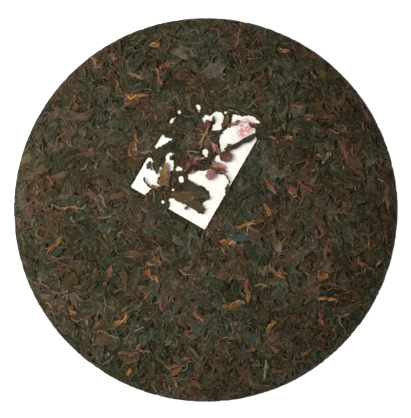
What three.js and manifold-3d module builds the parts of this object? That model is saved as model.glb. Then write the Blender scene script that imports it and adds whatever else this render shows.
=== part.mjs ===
// A round cake of pressed pu erh tea: whole leaves steamed in a cloth bag and pressed into a domed
// disc, with a paper slip laid on its face and half buried under leaves.
//
// Millimetres, +Z up. The origin is the middle of the flat ring that the cake rests on, and seen from
// above +X is to the right and +Y is to the top of the face. The knot of the bag leaves the round
// dimple in the underside.
//
// The cake is one solid: a lathed body with its largest leaves fused on, pressed flat to its skin.
// The slip is the second solid, a thin sheet that follows the dome inside a slot of its own.
import * as THREE from "three";
import { mergeVertices } from "three/addons/utils/BufferGeometryUtils.js";
import Module from "manifold-3d";

const wasm = await Module();
wasm.setup();

// Driving sizes of the cake
const BODY_RADIUS = 99.3;
const CROWN_HEIGHT = 22.8;
const RIM_HEIGHT = 8.0;
const BASE_RADIUS = 82;
const DIMPLE_RADIUS = 29;
const DIMPLE_DEPTH = 9;
const SECTORS = 48;
const RELIEF = 0.45;
const SKIN_SAMPLES = 240;

// The paper slip: its sides, its middle on the face, and the heading of its long side
const SLIP_LENGTH = 64;
const SLIP_WIDTH = 44;
const SLIP_THICKNESS = 0.35;
const SLIP_X = -3.6;
const SLIP_Y = 28.6;
const SLIP_HEADING = 60;
const SLIP_LIFT = 0.25;
const SLIP_STEPS = [8, 6];
const SLOT_GAP = 0.3;

// Leaves: how many places are tried on each part of the skin, and how large the leaves are
const FACE_PLACES = 132;
const FACE_REACH = 94;
const RIM_PLACES = 42;
const RIM_LEVELS = [5, 9, 12.5];
const UNDER_PLACES = 10;
const BURIED_PLACES = 12;
const BURIED_REACH = 36;
const TRIES_PER_PLACE = 10;
const LEAF_LENGTH = [13, 24];
const LEAF_WIDTH = [3.4, 6];
const LEAF_THICKNESS = 1.9;
const LEAF_SIDES = 4;
const LEAF_STATIONS = 3;
const TIP_DIP = 0.5;
const CLEAR_OF_SLIP = 2.2;
const GOLDEN_ANGLE = Math.PI * (3 - Math.sqrt(5));

// Where leaves bury the slip's far end, as [along, across] on the slip from its middle
const BURIED_OUTLINE = [
  [37, -25], [0.5, -25], [0.5, -16.5], [-8.5, -21], [-9, -25], [-13, -25], [-16, -17],
  [-7, -15.5], [-4.5, -11.5], [-10, -8], [-18, -3], [-12.5, 1], [-6.5, 6], [-5, 13.5],
  [-1.5, 18.5], [2, 12], [3, 8], [8.5, 8], [13, 5], [20, 6.5], [25, 9], [26, 4], [33, 10], [37, 12],
];
const BURIED_WINDOW = [[17.5, -7.5], [21.5, -4], [24.5, -2], [24, 1.5], [17.5, 3.5], [14.5, 0]];
const BURIED_TOP = 1.5;
const BURIED_DEPTH = 1;
const BURIED_SKIRT = 1.6;

// Single leaves that lie across the slip: [x, y, heading, length, width, bend]
const OVER_SLIP_THICKNESS = 3;
const OVER_SLIP_LIFT = 0.6;
const LEAVES_OVER_SLIP = [
  [-8.4, 10.9, -10, 21, 7.5, 0.2],
  [-8.4, 5.2, -22, 18, 5.5, 0],
  [-3.1, 1.4, -60, 9, 5, 0],
  [-19.8, 9.0, -20, 17, 7, 0],
  [-23.6, 4.6, -55, 16, 7, 0],
  [-29.6, 13.4, -55, 9, 1.8, -0.5],
  [-29.0, 23.6, 55, 7, 3.4, 0],
  [-21.4, 17.9, -72, 13, 5.5, 0.1],
  [-24.0, 11.9, 5, 9, 2.2, 0.2],
  [19.4, 35.6, 31, 18, 2.8, 0],
  [12.4, 31.8, 20, 6, 4.4, 0],
  [11.8, 13.4, -75, 15, 2.2, 0.4],
  [10.2, 26.7, 0, 7, 6.4, 0],
  [2.6, 18.2, 70, 6.5, 6, 0],
  [7.4, 22.3, -45, 10, 5, 0],
  [8.0, 33.7, -60, 12, 4.5, 0.2],
  [1.7, 37.5, 62, 14, 5, 0.1],
  [15.0, 45.7, 25, 7, 3, 0],
  [10.5, 45.1, 75, 10, 4.5, 0],
];

const DARK_LEAF = new THREE.MeshStandardMaterial({ color: 0x433c2b, roughness: 0.8, metalness: 0 });
const PAPER = new THREE.MeshStandardMaterial({ color: 0xf6f2e4, roughness: 0.85, metalness: 0 });

const degrees = Math.PI / 180;
const { clamp, lerp } = THREE.MathUtils;

// A seeded draw between 0 and 1, the same on every run
function seededDraw(seed) {
  let state = seed;
  return () => {
    state = (state + 0x6d2b79f5) | 0;
    let mixed = Math.imul(state ^ (state >>> 15), 1 | state);
    mixed = (mixed + Math.imul(mixed ^ (mixed >>> 7), 61 | mixed)) ^ mixed;
    return ((mixed ^ (mixed >>> 14)) >>> 0) / 4294967296;
  };
}

// Height of the domed face at a radius: flat in the middle, rounding over into the rim
function faceHeight(radius) {
  const share = clamp(radius / BODY_RADIUS, 0, 1);
  return RIM_HEIGHT + (CROWN_HEIGHT - RIM_HEIGHT) * (1 - share ** 2.6) ** 0.5;
}

// Height of the underside at a radius: the dimple, the flat resting ring, then up into the rim
function underHeight(radius) {
  if (radius < DIMPLE_RADIUS) {
    return DIMPLE_DEPTH * (0.5 + 0.5 * Math.cos((Math.PI * radius) / DIMPLE_RADIUS));
  }
  const share = clamp((radius - BASE_RADIUS) / (BODY_RADIUS - BASE_RADIUS), 0, 1);
  return RIM_HEIGHT * (1 - (1 - share ** 2.4) ** 0.55);
}

// The body's outline from the dimple's middle, out along the underside and back over the face
function bodyProfile() {
  const profile = [];
  for (const share of [0, 0.35, 0.65, 1]) {
    const radius = share * DIMPLE_RADIUS;
    profile.push(new THREE.Vector2(radius, underHeight(radius)));
  }
  profile.push(new THREE.Vector2(lerp(DIMPLE_RADIUS, BASE_RADIUS, 0.5), 0));
  for (const share of [0, 0.55, 0.85, 0.97]) {
    const radius = lerp(BASE_RADIUS, BODY_RADIUS, share);
    profile.push(new THREE.Vector2(radius, underHeight(radius)));
  }
  profile.push(new THREE.Vector2(BODY_RADIUS, RIM_HEIGHT));
  for (const share of [0.985, 0.94, 0.86, 0.74, 0.6, 0.46, 0.32, 0.16, 0]) {
    const radius = share * BODY_RADIUS;
    profile.push(new THREE.Vector2(radius, faceHeight(radius)));
  }
  return profile;
}

// The skin as closely spaced points of radius, height and outward normal, to lay leaves along
function skinSamples(heightAt, upward, count) {
  const samples = [];
  for (let i = 0; i <= count; i += 1) {
    const radius = BODY_RADIUS * Math.sin((Math.PI / 2) * (i / count));
    const ahead = Math.min(radius + 0.05, BODY_RADIUS);
    const behind = Math.max(ahead - 0.1, 0);
    const slope = (heightAt(ahead) - heightAt(behind)) / (ahead - behind);
    const normal = new THREE.Vector2(-slope, 1).normalize().multiplyScalar(upward);
    samples.push({ radius, height: heightAt(radius), normal });
  }
  return samples;
}
const SKIN = [
  ...skinSamples(faceHeight, 1, SKIN_SAMPLES),
  ...skinSamples(underHeight, -1, SKIN_SAMPLES),
];

// The skin point nearest to a point in space, with its normal
function nearestSkin(point) {
  const radius = Math.hypot(point.x, point.y);
  let best = SKIN[0];
  let bestDistance = Infinity;
  for (const sample of SKIN) {
    const distance = (sample.radius - radius) ** 2 + (sample.height - point.z) ** 2;
    if (distance < bestDistance) {
      best = sample;
      bestDistance = distance;
    }
  }
  const outX = radius > 1e-6 ? point.x / radius : 1;
  const outY = radius > 1e-6 ? point.y / radius : 0;
  return {
    foot: new THREE.Vector3(outX * best.radius, outY * best.radius, best.height),
    normal: new THREE.Vector3(outX * best.normal.x, outY * best.normal.x, best.normal.y),
  };
}

// A closed geometry as a manifold solid: only positions count, and collapsed triangles go
function solidOf(geometry) {
  const bare = geometry.clone();
  bare.deleteAttribute("normal");
  bare.deleteAttribute("uv");
  const merged = mergeVertices(bare, 1e-4);
  const corners = merged.index.array;
  const kept = [];
  for (let i = 0; i < corners.length; i += 3) {
    const [a, b, c] = [corners[i], corners[i + 1], corners[i + 2]];
    if (a !== b && b !== c && c !== a) kept.push(a, b, c);
  }
  return new wasm.Manifold(
    new wasm.Mesh({
      numProp: 3,
      vertProperties: new Float32Array(merged.attributes.position.array),
      triVerts: new Uint32Array(kept),
    }),
  );
}

// A manifold solid back as a geometry
function geometryOf(solid) {
  const mesh = solid.getMesh();
  const positions = new Float32Array(mesh.numVert * 3);
  for (let i = 0; i < mesh.numVert; i += 1) {
    const start = i * mesh.numProp;
    positions.set(mesh.vertProperties.subarray(start, start + 3), i * 3);
  }
  const geometry = new THREE.BufferGeometry();
  geometry.setAttribute("position", new THREE.BufferAttribute(positions, 3));
  geometry.setIndex(new THREE.BufferAttribute(new Uint32Array(mesh.triVerts), 1));
  geometry.computeVertexNormals();
  return geometry;
}

// Moves every vertex of a geometry to where the rule sends it
function reshape(geometry, rule) {
  const position = geometry.attributes.position;
  const point = new THREE.Vector3();
  for (let i = 0; i < position.count; i += 1) {
    point.fromBufferAttribute(position, i);
    const moved = rule(point);
    position.setXYZ(i, moved.x, moved.y, moved.z);
  }
  return geometry;
}

// Soft lumps over the face and rim, a leaf or two wide. The resting ring stays flat.
function lumpiness(point) {
  const waves =
    Math.sin(point.x * 0.61 + 1.3) * Math.sin(point.y * 0.53 + 0.4) +
    Math.sin(point.x * 0.23 - point.y * 0.37 + 2.1) +
    Math.sin(point.x * 0.41 + point.y * 0.29 + point.z * 0.5);
  return (RELIEF * waves) / 3;
}

// Fewer sectors near the middle: there neighbouring corners meet, and the sliver between them goes.
// The nudge makes every corner that is half way between two go the same way.
const NUDGE = 1e-4;
const THINNED_WITHIN = [[20, 8], [36, 4], [64, 2]];
function thinnedAngle(point) {
  const radius = Math.hypot(point.x, point.y);
  const angle = Math.atan2(point.y, point.x);
  const every = THINNED_WITHIN.find(([reach]) => radius < reach)?.[1] ?? 1;
  const step = (2 * Math.PI * every) / SECTORS;
  const snapped = Math.round(angle / step + NUDGE) * step;
  return new THREE.Vector3(radius * Math.cos(snapped), radius * Math.sin(snapped), point.z);
}

function bodySolid() {
  const lathe = new THREE.LatheGeometry(bodyProfile(), SECTORS, Math.PI / 2);
  lathe.rotateX(Math.PI / 2);
  reshape(lathe, thinnedAngle);
  reshape(lathe, (point) => {
    const radius = Math.hypot(point.x, point.y);
    const onBase = point.z < 0.01 && radius > 1;
    if (onBase) return point;
    const { normal } = nearestSkin(point);
    return point.clone().addScaledVector(normal, lumpiness(point));
  });
  return solidOf(lathe);
}

// The flat directions at a skin point: along the heading, across it, and out of the skin
function skinFrame(at, heading) {
  const { foot, normal } = nearestSkin(at);
  const east = new THREE.Vector3(1, 0, 0).addScaledVector(normal, -normal.x);
  if (east.lengthSq() < 0.05) east.set(0, 1, 0).addScaledVector(normal, -normal.y);
  east.normalize();
  const north = new THREE.Vector3().crossVectors(normal, east);
  const turn = heading * degrees;
  const along = east.multiplyScalar(Math.cos(turn)).addScaledVector(north, Math.sin(turn));
  return { foot, along, across: new THREE.Vector3().crossVectors(normal, along) };
}

// One pressed leaf: a flat rod, bent sideways and laid along the skin from its middle, whose points
// dip into the body. lift is how far its middle stands out of the skin.
function leafSolid({ at, heading, length, width, thickness, bend, lift }) {
  const rod = new THREE.CylinderGeometry(1, 1, 1, LEAF_SIDES, LEAF_STATIONS);
  const { foot, along, across } = skinFrame(at, heading);
  reshape(rod, (point) => {
    const share = 2 * point.y;
    const taper = 1 - Math.abs(share) ** 2.6;
    const sideways = (-point.x * width * taper) / 2 + bend * length * share * share * 0.25;
    const upward = lerp(-TIP_DIP, lift, taper) + (point.z * thickness * taper) / 2;
    const flat = foot
      .clone()
      .addScaledVector(along, (share * length) / 2)
      .addScaledVector(across, sideways);
    const skin = nearestSkin(flat);
    return skin.foot.addScaledVector(skin.normal, upward);
  });
  return solidOf(rod);
}

// Slip coordinates: along runs up the long side, across runs down to its right-hand side
const slipTurn = SLIP_HEADING * degrees;
function toSlip(x, y) {
  const [dx, dy] = [x - SLIP_X, y - SLIP_Y];
  return {
    along: dx * Math.cos(slipTurn) + dy * Math.sin(slipTurn),
    across: dx * Math.sin(slipTurn) - dy * Math.cos(slipTurn),
  };
}
function fromSlip(along, across) {
  return {
    x: SLIP_X + along * Math.cos(slipTurn) + across * Math.sin(slipTurn),
    y: SLIP_Y + along * Math.sin(slipTurn) - across * Math.cos(slipTurn),
  };
}

// A sheet over the slip's place, between two heights above the skin
function sheetOverFace(length, width, low, high) {
  const sheet = new THREE.BoxGeometry(length, width, 1, SLIP_STEPS[0], SLIP_STEPS[1], 1);
  return reshape(sheet, (point) => {
    const { x, y } = fromSlip(point.x, -point.y);
    const wave = 0.12 * Math.sin(point.x * 0.24 + 0.6) * Math.cos(point.y * 0.2);
    const lift = point.z > 0 ? high : low;
    return new THREE.Vector3(x, y, faceHeight(Math.hypot(x, y)) + wave + lift);
  });
}

function slipGeometry() {
  return sheetOverFace(SLIP_LENGTH, SLIP_WIDTH, SLIP_LIFT, SLIP_LIFT + SLIP_THICKNESS);
}

function slotSolid() {
  const low = SLIP_LIFT - SLOT_GAP;
  const high = SLIP_LIFT + SLIP_THICKNESS + SLOT_GAP;
  const grown = 2 * SLOT_GAP;
  return solidOf(sheetOverFace(SLIP_LENGTH + grown, SLIP_WIDTH + grown, low, high));
}

// The leaves that bury the slip: a thick patch over its outline, whose sides slope down to the skin.
// The slot then cuts it free of the slip.
function buriedSolid() {
  const corner = ([along, across]) => new THREE.Vector2(along, -across);
  const outline = new THREE.Shape(BURIED_OUTLINE.map(corner));
  outline.holes.push(new THREE.Path(BURIED_WINDOW.map(corner)));
  const patch = new THREE.ExtrudeGeometry(outline, {
    depth: 1,
    bevelThickness: 1,
    bevelSize: BURIED_SKIRT,
    bevelSegments: 1,
  });
  const liftOfLayer = { 2: BURIED_TOP, 1: 0, 0: -BURIED_DEPTH / 2, "-1": -BURIED_DEPTH };
  reshape(patch, (point) => {
    const { x, y } = fromSlip(point.x, -point.y);
    const lift = liftOfLayer[Math.round(point.z)];
    return new THREE.Vector3(x, y, faceHeight(Math.hypot(x, y)) + lift);
  });
  return solidOf(patch);
}

function isOverSlip(x, y, margin) {
  const { along, across } = toSlip(x, y);
  return Math.abs(along) < SLIP_LENGTH / 2 + margin && Math.abs(across) < SLIP_WIDTH / 2 + margin;
}

// A golden-angle spiral spreads the places evenly between two radii
function spiralPlaces(count, inner, outer, heightAt) {
  const places = [];
  for (let i = 0; i < count; i += 1) {
    const radius = Math.sqrt(lerp(inner ** 2, outer ** 2, (i + 0.5) / count));
    const angle = i * GOLDEN_ANGLE;
    places.push(new THREE.Vector3(radius * Math.cos(angle), radius * Math.sin(angle), heightAt(radius)));
  }
  return places;
}

function rimPlaces(count) {
  const places = [];
  for (let i = 0; i < count; i += 1) {
    const angle = (2 * Math.PI * i) / count;
    const height = RIM_LEVELS[i % RIM_LEVELS.length];
    places.push(new THREE.Vector3(BODY_RADIUS * Math.cos(angle), BODY_RADIUS * Math.sin(angle), height));
  }
  return places;
}

// Five spots along a leaf, to keep leaves from crossing
function leafSpots({ at, heading, length }) {
  const { foot, along } = skinFrame(at, heading);
  return [-0.42, -0.21, 0, 0.21, 0.42].map((share) =>
    nearestSkin(foot.clone().addScaledVector(along, share * length)).foot,
  );
}

// Lays a drawn leaf at each place where one fits between those laid before, largest draws first
function layLeaves(places, draw, laid, changes, isFree = () => true) {
  for (const at of places) {
    for (let attempt = 0; attempt < TRIES_PER_PLACE; attempt += 1) {
      const shrink = 1 - 0.05 * attempt;
      const leaf = {
        at,
        heading: 360 * draw(),
        length: shrink * lerp(...LEAF_LENGTH, draw()),
        width: shrink * lerp(...LEAF_WIDTH, draw()),
        thickness: LEAF_THICKNESS,
        bend: 0.7 * (draw() - 0.5),
        lift: 0.1 + 0.25 * draw(),
        ...changes,
      };
      const spots = leafSpots(leaf);
      const clear = laid.every((other) =>
        other.spots.every((theirs) =>
          spots.every((ours) => ours.distanceTo(theirs) > 0.5 * (leaf.width + other.width)),
        ),
      );
      if (clear && spots.every(isFree)) {
        laid.push({ ...leaf, spots });
        break;
      }
    }
  }
}

function scatteredLeaves() {
  const draw = seededDraw(357);
  const laid = [];
  layLeaves(rimPlaces(RIM_PLACES), draw, laid, { lift: -0.2 });
  const offSlip = (spot) => !isOverSlip(spot.x, spot.y, CLEAR_OF_SLIP);
  layLeaves(spiralPlaces(FACE_PLACES, 0, FACE_REACH, faceHeight), draw, laid, {}, offSlip);
  const underPlaces = spiralPlaces(UNDER_PLACES, BASE_RADIUS + 3, FACE_REACH, underHeight);
  layLeaves(underPlaces, draw, laid, { lift: -0.1 });
  return laid;
}

// The leaves over the slip are thicker, so that they reach down into the body beside it
function leavesOverSlip() {
  const draw = seededDraw(22);
  const single = LEAVES_OVER_SLIP.map(([x, y, heading, length, width, bend]) => ({
    at: new THREE.Vector3(x, y, faceHeight(Math.hypot(x, y))),
    heading,
    length,
    width,
    bend,
    thickness: OVER_SLIP_THICKNESS,
    lift: OVER_SLIP_LIFT,
  }));
  const laid = [];
  const places = spiralPlaces(BURIED_PLACES, 0, BURIED_REACH, faceHeight).map(({ x, y }) => {
    const spot = fromSlip(x, y);
    return new THREE.Vector3(spot.x, spot.y, faceHeight(Math.hypot(spot.x, spot.y)));
  });
  const onPatch = (spot) => {
    const { along, across } = toSlip(spot.x, spot.y);
    return isInside([along, across], BURIED_OUTLINE) && !isInside([along, across], BURIED_WINDOW);
  };
  layLeaves(places, draw, laid, { lift: BURIED_TOP }, onPatch);
  return [...single, ...laid];
}

// Whether a flat point lies inside an outline, by counting the sides to its right
function isInside([px, py], outline) {
  let inside = false;
  outline.forEach(([ax, ay], i) => {
    const [bx, by] = outline[(i + 1) % outline.length];
    const crosses = ay > py !== by > py && px < ax + ((bx - ax) * (py - ay)) / (by - ay);
    if (crosses) inside = !inside;
  });
  return inside;
}

function cakeSolid() {
  const leaves = [...scatteredLeaves(), ...leavesOverSlip()].map(leafSolid);
  const joined = wasm.Manifold.union([bodySolid(), buriedSolid(), ...leaves]);
  const floor = new THREE.BoxGeometry(300, 300, 20).translate(0, 0, -10);
  const cut = joined.subtract(solidOf(floor)).subtract(slotSolid());
  const bodies = cut.decompose();
  return bodies.sort((a, b) => b.volume() - a.volume())[0];
}

function namedMesh(name, geometry, material) {
  const mesh = new THREE.Mesh(geometry, material);
  mesh.name = name;
  return mesh;
}

const teaCake = new THREE.Group();
teaCake.add(namedMesh("pressed_tea", geometryOf(cakeSolid()), DARK_LEAF));
teaCake.add(namedMesh("paper_slip", slipGeometry(), PAPER));

export default teaCake;
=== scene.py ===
import math

import bpy
import numpy as np
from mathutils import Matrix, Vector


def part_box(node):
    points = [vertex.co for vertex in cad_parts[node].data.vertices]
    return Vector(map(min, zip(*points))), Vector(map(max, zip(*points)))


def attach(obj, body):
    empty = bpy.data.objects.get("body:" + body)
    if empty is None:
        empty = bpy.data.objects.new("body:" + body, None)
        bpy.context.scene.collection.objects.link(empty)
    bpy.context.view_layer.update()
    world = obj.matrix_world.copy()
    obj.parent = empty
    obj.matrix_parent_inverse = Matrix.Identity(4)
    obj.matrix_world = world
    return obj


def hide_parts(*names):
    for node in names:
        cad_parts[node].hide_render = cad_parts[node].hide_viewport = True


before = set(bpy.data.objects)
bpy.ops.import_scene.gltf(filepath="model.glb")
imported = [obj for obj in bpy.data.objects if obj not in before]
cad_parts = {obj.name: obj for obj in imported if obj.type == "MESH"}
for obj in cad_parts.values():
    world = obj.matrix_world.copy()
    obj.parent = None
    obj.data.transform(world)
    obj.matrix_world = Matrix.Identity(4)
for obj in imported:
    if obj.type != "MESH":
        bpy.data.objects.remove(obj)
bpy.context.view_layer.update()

MM = 0.001

# The cake's sizes from the frame: the skin that the leaves lie on keeps to the solid's side and
# lies a little under its face
cake_low, cake_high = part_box("pressed_tea")
CAKE_RADIUS = (cake_high[0] - cake_low[0]) / 2 / MM
CAKE_HEIGHT = cake_high[2] / MM
BODY_RADIUS = CAKE_RADIUS + 0.15
CROWN_HEIGHT = CAKE_HEIGHT - 1.9
RIM_HEIGHT = 0.35 * CROWN_HEIGHT
BASE_RADIUS = 0.826 * BODY_RADIUS
DIMPLE_RADIUS = 0.292 * BODY_RADIUS
DIMPLE_DEPTH = 0.395 * CROWN_HEIGHT

# The powers that square the shoulder of the face and round the lower edge
FACE_SHOULDER = 2.6
LOWER_SHOULDER = 2.4
LOWER_ROUNDING = 0.55

# How finely the skin's profile is stepped, and how many points look for their foot at once
SKIN_SAMPLES = 360
FEET_AT_ONCE = 20000

# The slip's sizes, its middle on the face and the heading of its long side
SLIP_LENGTH = 64.0
SLIP_WIDTH = 44.0
SLIP_HEADING = math.radians(60)
slip_low, slip_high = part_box("paper_slip")
SLIP_MIDDLE = np.array([(slip_low[0] + slip_high[0]) / 2, (slip_low[1] + slip_high[1]) / 2]) / MM
SLIP_LIFT = 0.3
SLIP_THICKNESS = 0.16
SLIP_BORDER = 1.0

# Leaves tucked under the slip end below it, and come up again this far past its edge
UNDER_SLIP = SLIP_LIFT - SLIP_THICKNESS - 0.1
TUCKED_REACH = 1.5

# Leaves that bury the slip lie this much higher, and come down again this far past its edge
OVER_SLIP = 0.75
CLIMB_REACH = 4.0

# Where the pressing of the leaves begins over the skin, and where their tops end
PRESS_FROM = 0.3
PRESS_TO = 0.8

# How far the layer of leaves is sunk underneath, so that it ends at the foot, and from what normal
UNDER_SINK = 0.66
UNDER_FROM = -0.6

# How much of its relief the layer keeps, by the normal's height: the bag presses the rim smoothest
RELIEF_AT = [-1, -0.3, 0, 0.5, 0.85, 1]
RELIEF_KEPT = [0.8, 0.4, 0.18, 0.4, 0.8, 1]

# Patches of lighter, darker, browner and greener leaf, a few leaves wide
PATCH_WAVES = 24
TONE_SEED = 11
TONE_LENGTH = (12, 44)
TONE_STRENGTH = 0.33
WARMTH_SEED = 12
WARMTH_LENGTH = (7, 30)
WARMTH_STRENGTH = 0.22
WARMTH = np.array([1.0, -0.35, -0.75])

# How red, green and blue follow when a leaf is lighter or darker: light leaf is pinker and greyer
FOLLOWS = np.array([1.05, 1.0, 1.7])

# How much one leaf is lighter or darker than its fellows
SHADE_SPREAD = 0.2

# The palettes give each leaf as it looks in the room's light; this turns that into what it reflects
REFLECTED = np.array([0.76, 0.765, 0.67])

# Painted light and shade: leaf is coloured darker in the hollows than on the tops, on the steep rim, and away
# from the crown
PAINTED_HOLLOW_SHADE = 0.8
PAINTED_TOP_LIGHT = 0.26
HOLLOW_BELOW = 0.4
TOP_LIGHT_REACH = 1.5
STEEP_AT = [-1, 0, 0.5, 0.9]
PAINTED_STEEP_SHADE = [1, 0.7, 0.84, 1]
PAINTED_RIM_SHADE = 0.16

# Where the paper shows between the leaves on the slip, as outlines of (along, across) from its
# middle: right of the island, the left corner, the far edge, a bent gap, a hooked gap, two windows
BARE_PARTS = [
    [
        (-33, 23), (-32.6, 0.4), (-30.8, 0.6), (-27.7, -1.6), (-25.6, 0.6), (-26.9, 1.2), (-26, 7.3),
        (-26.4, 15.6), (-25.6, 17.6), (-21.6, 14.6), (-19.6, 14.7), (-16.9, 16.2), (-14.2, 14.6),
        (-13, 10.2), (-14, 6), (-13.6, 3.3), (-14.2, 2.2), (-11.8, 0.4), (-8, 3.4), (-5.6, 7.4),
        (-3, 9.5), (-4, 13), (-2.6, 16.8), (0, 16.6), (1.2, 13), (1.4, 8.4), (3.6, 8.2), (6, 9.5),
        (8.8, 8), (10.5, 6.2), (13.5, 4.8), (18.5, 5.6), (20.2, 7.3), (22.5, 6.4), (26.5, 4.8),
        (28, 9.5), (31, 13.7), (30, 19.2), (27.6, 15.8), (25.6, 18.7), (22.5, 20.5), (20.5, 22.6),
        (17, 22.3), (15, 23),
    ],
    [
        (-33, -22.5), (-15, -22.5), (-14.2, -20.8), (-15.3, -18.3), (-19, -15.2), (-19.6, -14.3),
        (-15.2, -14.2), (-16.5, -12.4), (-22.5, -12.3), (-23, -9.8), (-24.2, -9.5), (-26.2, -12.4),
        (-29.5, -13), (-31.2, -13.8), (-33, -15.2),
    ],
    [(-9.2, -21.6), (-0.9, -21.3), (-1.3, -18.9), (0.3, -15.9), (-2, -17.1), (-6.2, -19.2)],
    [
        (-8.2, -14.9), (-5.6, -11.5), (-6.4, -11.2), (-8.3, -12.9), (-10.2, -11.8), (-9.5, -9.4),
        (-14, -7.8), (-15.7, -8), (-14.6, -10.4), (-12.3, -12.9), (-9.8, -14),
    ],
    [
        (15.3, -6), (16.2, -7.5), (19, -7.6), (19.7, -5), (23.3, -3.4), (24.3, -1), (24, 1), (20.5, 2),
        (18.3, 2.3), (17.7, 3.6), (16.8, 3.2), (14.3, -0.2), (15.6, -1.1), (18.8, -0.5), (20.4, -1.8),
        (19.6, -2.6), (18.4, -2.9), (17.3, -4.8),
    ],
    [(-16.7, -2.3), (-15.3, -3.2), (-14.2, -1.8), (-15.2, -0.2), (-16, 0.7), (-16.9, -0.8)],
    [(18.8, -10.5), (20, -12.5), (20.6, -14), (21.8, -13.6), (22, -11.8), (20.5, -11.2)],
]

# Small gaps between the burying leaves where the paper shows, as (along, across, radius)
WHITE_SPECKS = [
    (7.4, -20.8, 0.8), (8.9, -20.4, 0.8), (10.3, -19.7, 0.7), (14.1, -19.7, 0.9), (25.6, -10.4, 0.6),
    (7.1, -12.2, 0.9), (31.7, 8.4, 0.7), (25.6, 1.0, 0.6), (2.2, -6.0, 0.5), (2.7, 2.3, 1.5),
    (1.1, 3.4, 0.7), (-11.8, -5.7, 1.1), (-11.3, -4.0, 0.6), (-22.5, -2.6, 0.6), (-30.5, -3.8, 0.7),
    (-23.8, -6.8, 0.6), (-0.3, -16.3, 0.5),
]

# How far the borders of the bare parts wander
RAGGED_MM = 0.2

# How the leaves that bury the slip are drawn, and the thin mat of pressed leaf that they lie on
BURIED_REACH = 40
BURIED_TRIES = 10
BURIED_SHRINK = 0.55
BURIED_LIFT = (0.0, 0.6)
MAT_LIFT = 0.7
MAT_THICKNESS = 0.3
MAT_MARGIN = 1.2
MAT_FOLD_SIZE = 1.8
MAT_FOLDS = 0.35
MAT_COLUMNS = 112
MAT_ROWS = 78


def linear(hex_colour):
    """An sRGB hex value as the linear colour that shaders take."""
    channels = [int(hex_colour[i : i + 2], 16) / 255 for i in (1, 3, 5)]
    return [c / 12.92 if c <= 0.04045 else ((c + 0.055) / 1.055) ** 2.4 for c in channels] + [1.0]


# The skin

def face_height(radius):
    """The skin's height on the face, at a distance from the axis."""
    share = np.clip(radius / BODY_RADIUS, 0, 1)
    return RIM_HEIGHT + (CROWN_HEIGHT - RIM_HEIGHT) * (1 - share**FACE_SHOULDER) ** 0.5


def face_places(x, y):
    """The skin's points over places on the cake's face."""
    return np.stack([x, y, face_height(np.hypot(x, y))], axis=1)


def under_height(radius):
    """The skin's height underneath: the rounded rim, the flat foot and the dimple."""
    share = np.clip((radius - BASE_RADIUS) / (BODY_RADIUS - BASE_RADIUS), 0, 1)
    rim = RIM_HEIGHT * (1 - (1 - share**LOWER_SHOULDER) ** LOWER_ROUNDING)
    turn = np.clip(radius / DIMPLE_RADIUS, 0, 1) * math.pi
    return rim + DIMPLE_DEPTH * (0.5 + 0.5 * np.cos(turn))


def skin_profile():
    """Points of radius and height along the skin, from the crown over the rim to the dimple."""
    quarter = np.linspace(0, math.pi / 2, SKIN_SAMPLES)
    outward = BODY_RADIUS * np.sin(quarter)
    inward = outward[::-1][1:]
    face = np.stack([outward, face_height(outward)], axis=1)
    under = np.stack([inward, under_height(inward)], axis=1)
    return np.concatenate([face, under])


SKIN = skin_profile()
SKIN_TANGENT = np.gradient(SKIN, axis=0)
SKIN_TANGENT /= np.linalg.norm(SKIN_TANGENT, axis=1, keepdims=True)
SKIN_NORMAL = np.stack([-SKIN_TANGENT[:, 1], SKIN_TANGENT[:, 0]], axis=1)
SKIN_STEPS = np.linalg.norm(np.diff(SKIN, axis=0), axis=1)
SKIN_PATH = np.concatenate([[0], np.cumsum(SKIN_STEPS)])
SKIN_AREA = np.concatenate([[0], np.cumsum(SKIN_STEPS * (SKIN[1:, 0] + SKIN[:-1, 0]))])
SKIN_AREA /= SKIN_AREA[-1]


def nearest_skin(points):
    """The foot on the skin and the outward normal there, for an array of points."""
    feet = np.empty_like(points)
    normals = np.empty_like(points)
    for start in range(0, len(points), FEET_AT_ONCE):
        some = slice(start, start + FEET_AT_ONCE)
        part = points[some]
        radius = np.hypot(part[:, 0], part[:, 1])
        flat = np.stack([radius, part[:, 2]], axis=1)
        gap = (flat[:, None, 0] - SKIN[None, :, 0]) ** 2 + (flat[:, None, 1] - SKIN[None, :, 1]) ** 2
        best = np.argmin(gap, axis=1)
        along = np.sum((flat - SKIN[best]) * SKIN_TANGENT[best], axis=1)
        foot = SKIN[best] + SKIN_TANGENT[best] * along[:, None]
        out = part[:, :2] / np.maximum(radius, 1e-6)[:, None]
        feet[some, :2] = out * foot[:, :1]
        feet[some, 2] = foot[:, 1]
        normals[some, :2] = out * SKIN_NORMAL[best, :1]
        normals[some, 2] = SKIN_NORMAL[best, 1]
    return feet, normals


def recess(normal_z):
    """How far the leaf layer is moved out of the skin: not at all on the face, inwards underneath."""
    return np.interp(normal_z, [-1, UNDER_FROM, 0], [-UNDER_SINK, -UNDER_SINK, 0])


def pressed(height):
    """Heights over the skin, with the tops squeezed flat under PRESS_TO."""
    room = PRESS_TO - PRESS_FROM
    over = np.maximum(height - PRESS_FROM, 0)
    return np.minimum(height, PRESS_FROM) + room * (1 - np.exp(-over / room))


def flattened(normal_z):
    """How much of its relief the leaf layer keeps."""
    return np.interp(normal_z, RELIEF_AT, RELIEF_KEPT)


def waves(points, seed, length):
    """Smooth ups and downs over the skin between -1 and 1, from waves of many headings."""
    draw = np.random.default_rng(seed)
    total = np.zeros(len(points))
    for _ in range(PATCH_WAVES):
        wave = draw.normal(size=3)
        wave *= 2 * math.pi / draw.uniform(*length) / np.linalg.norm(wave)
        total += np.sin(points @ wave + draw.uniform(0, 2 * math.pi))
    return np.tanh(total / math.sqrt(PATCH_WAVES / 2))


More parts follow.
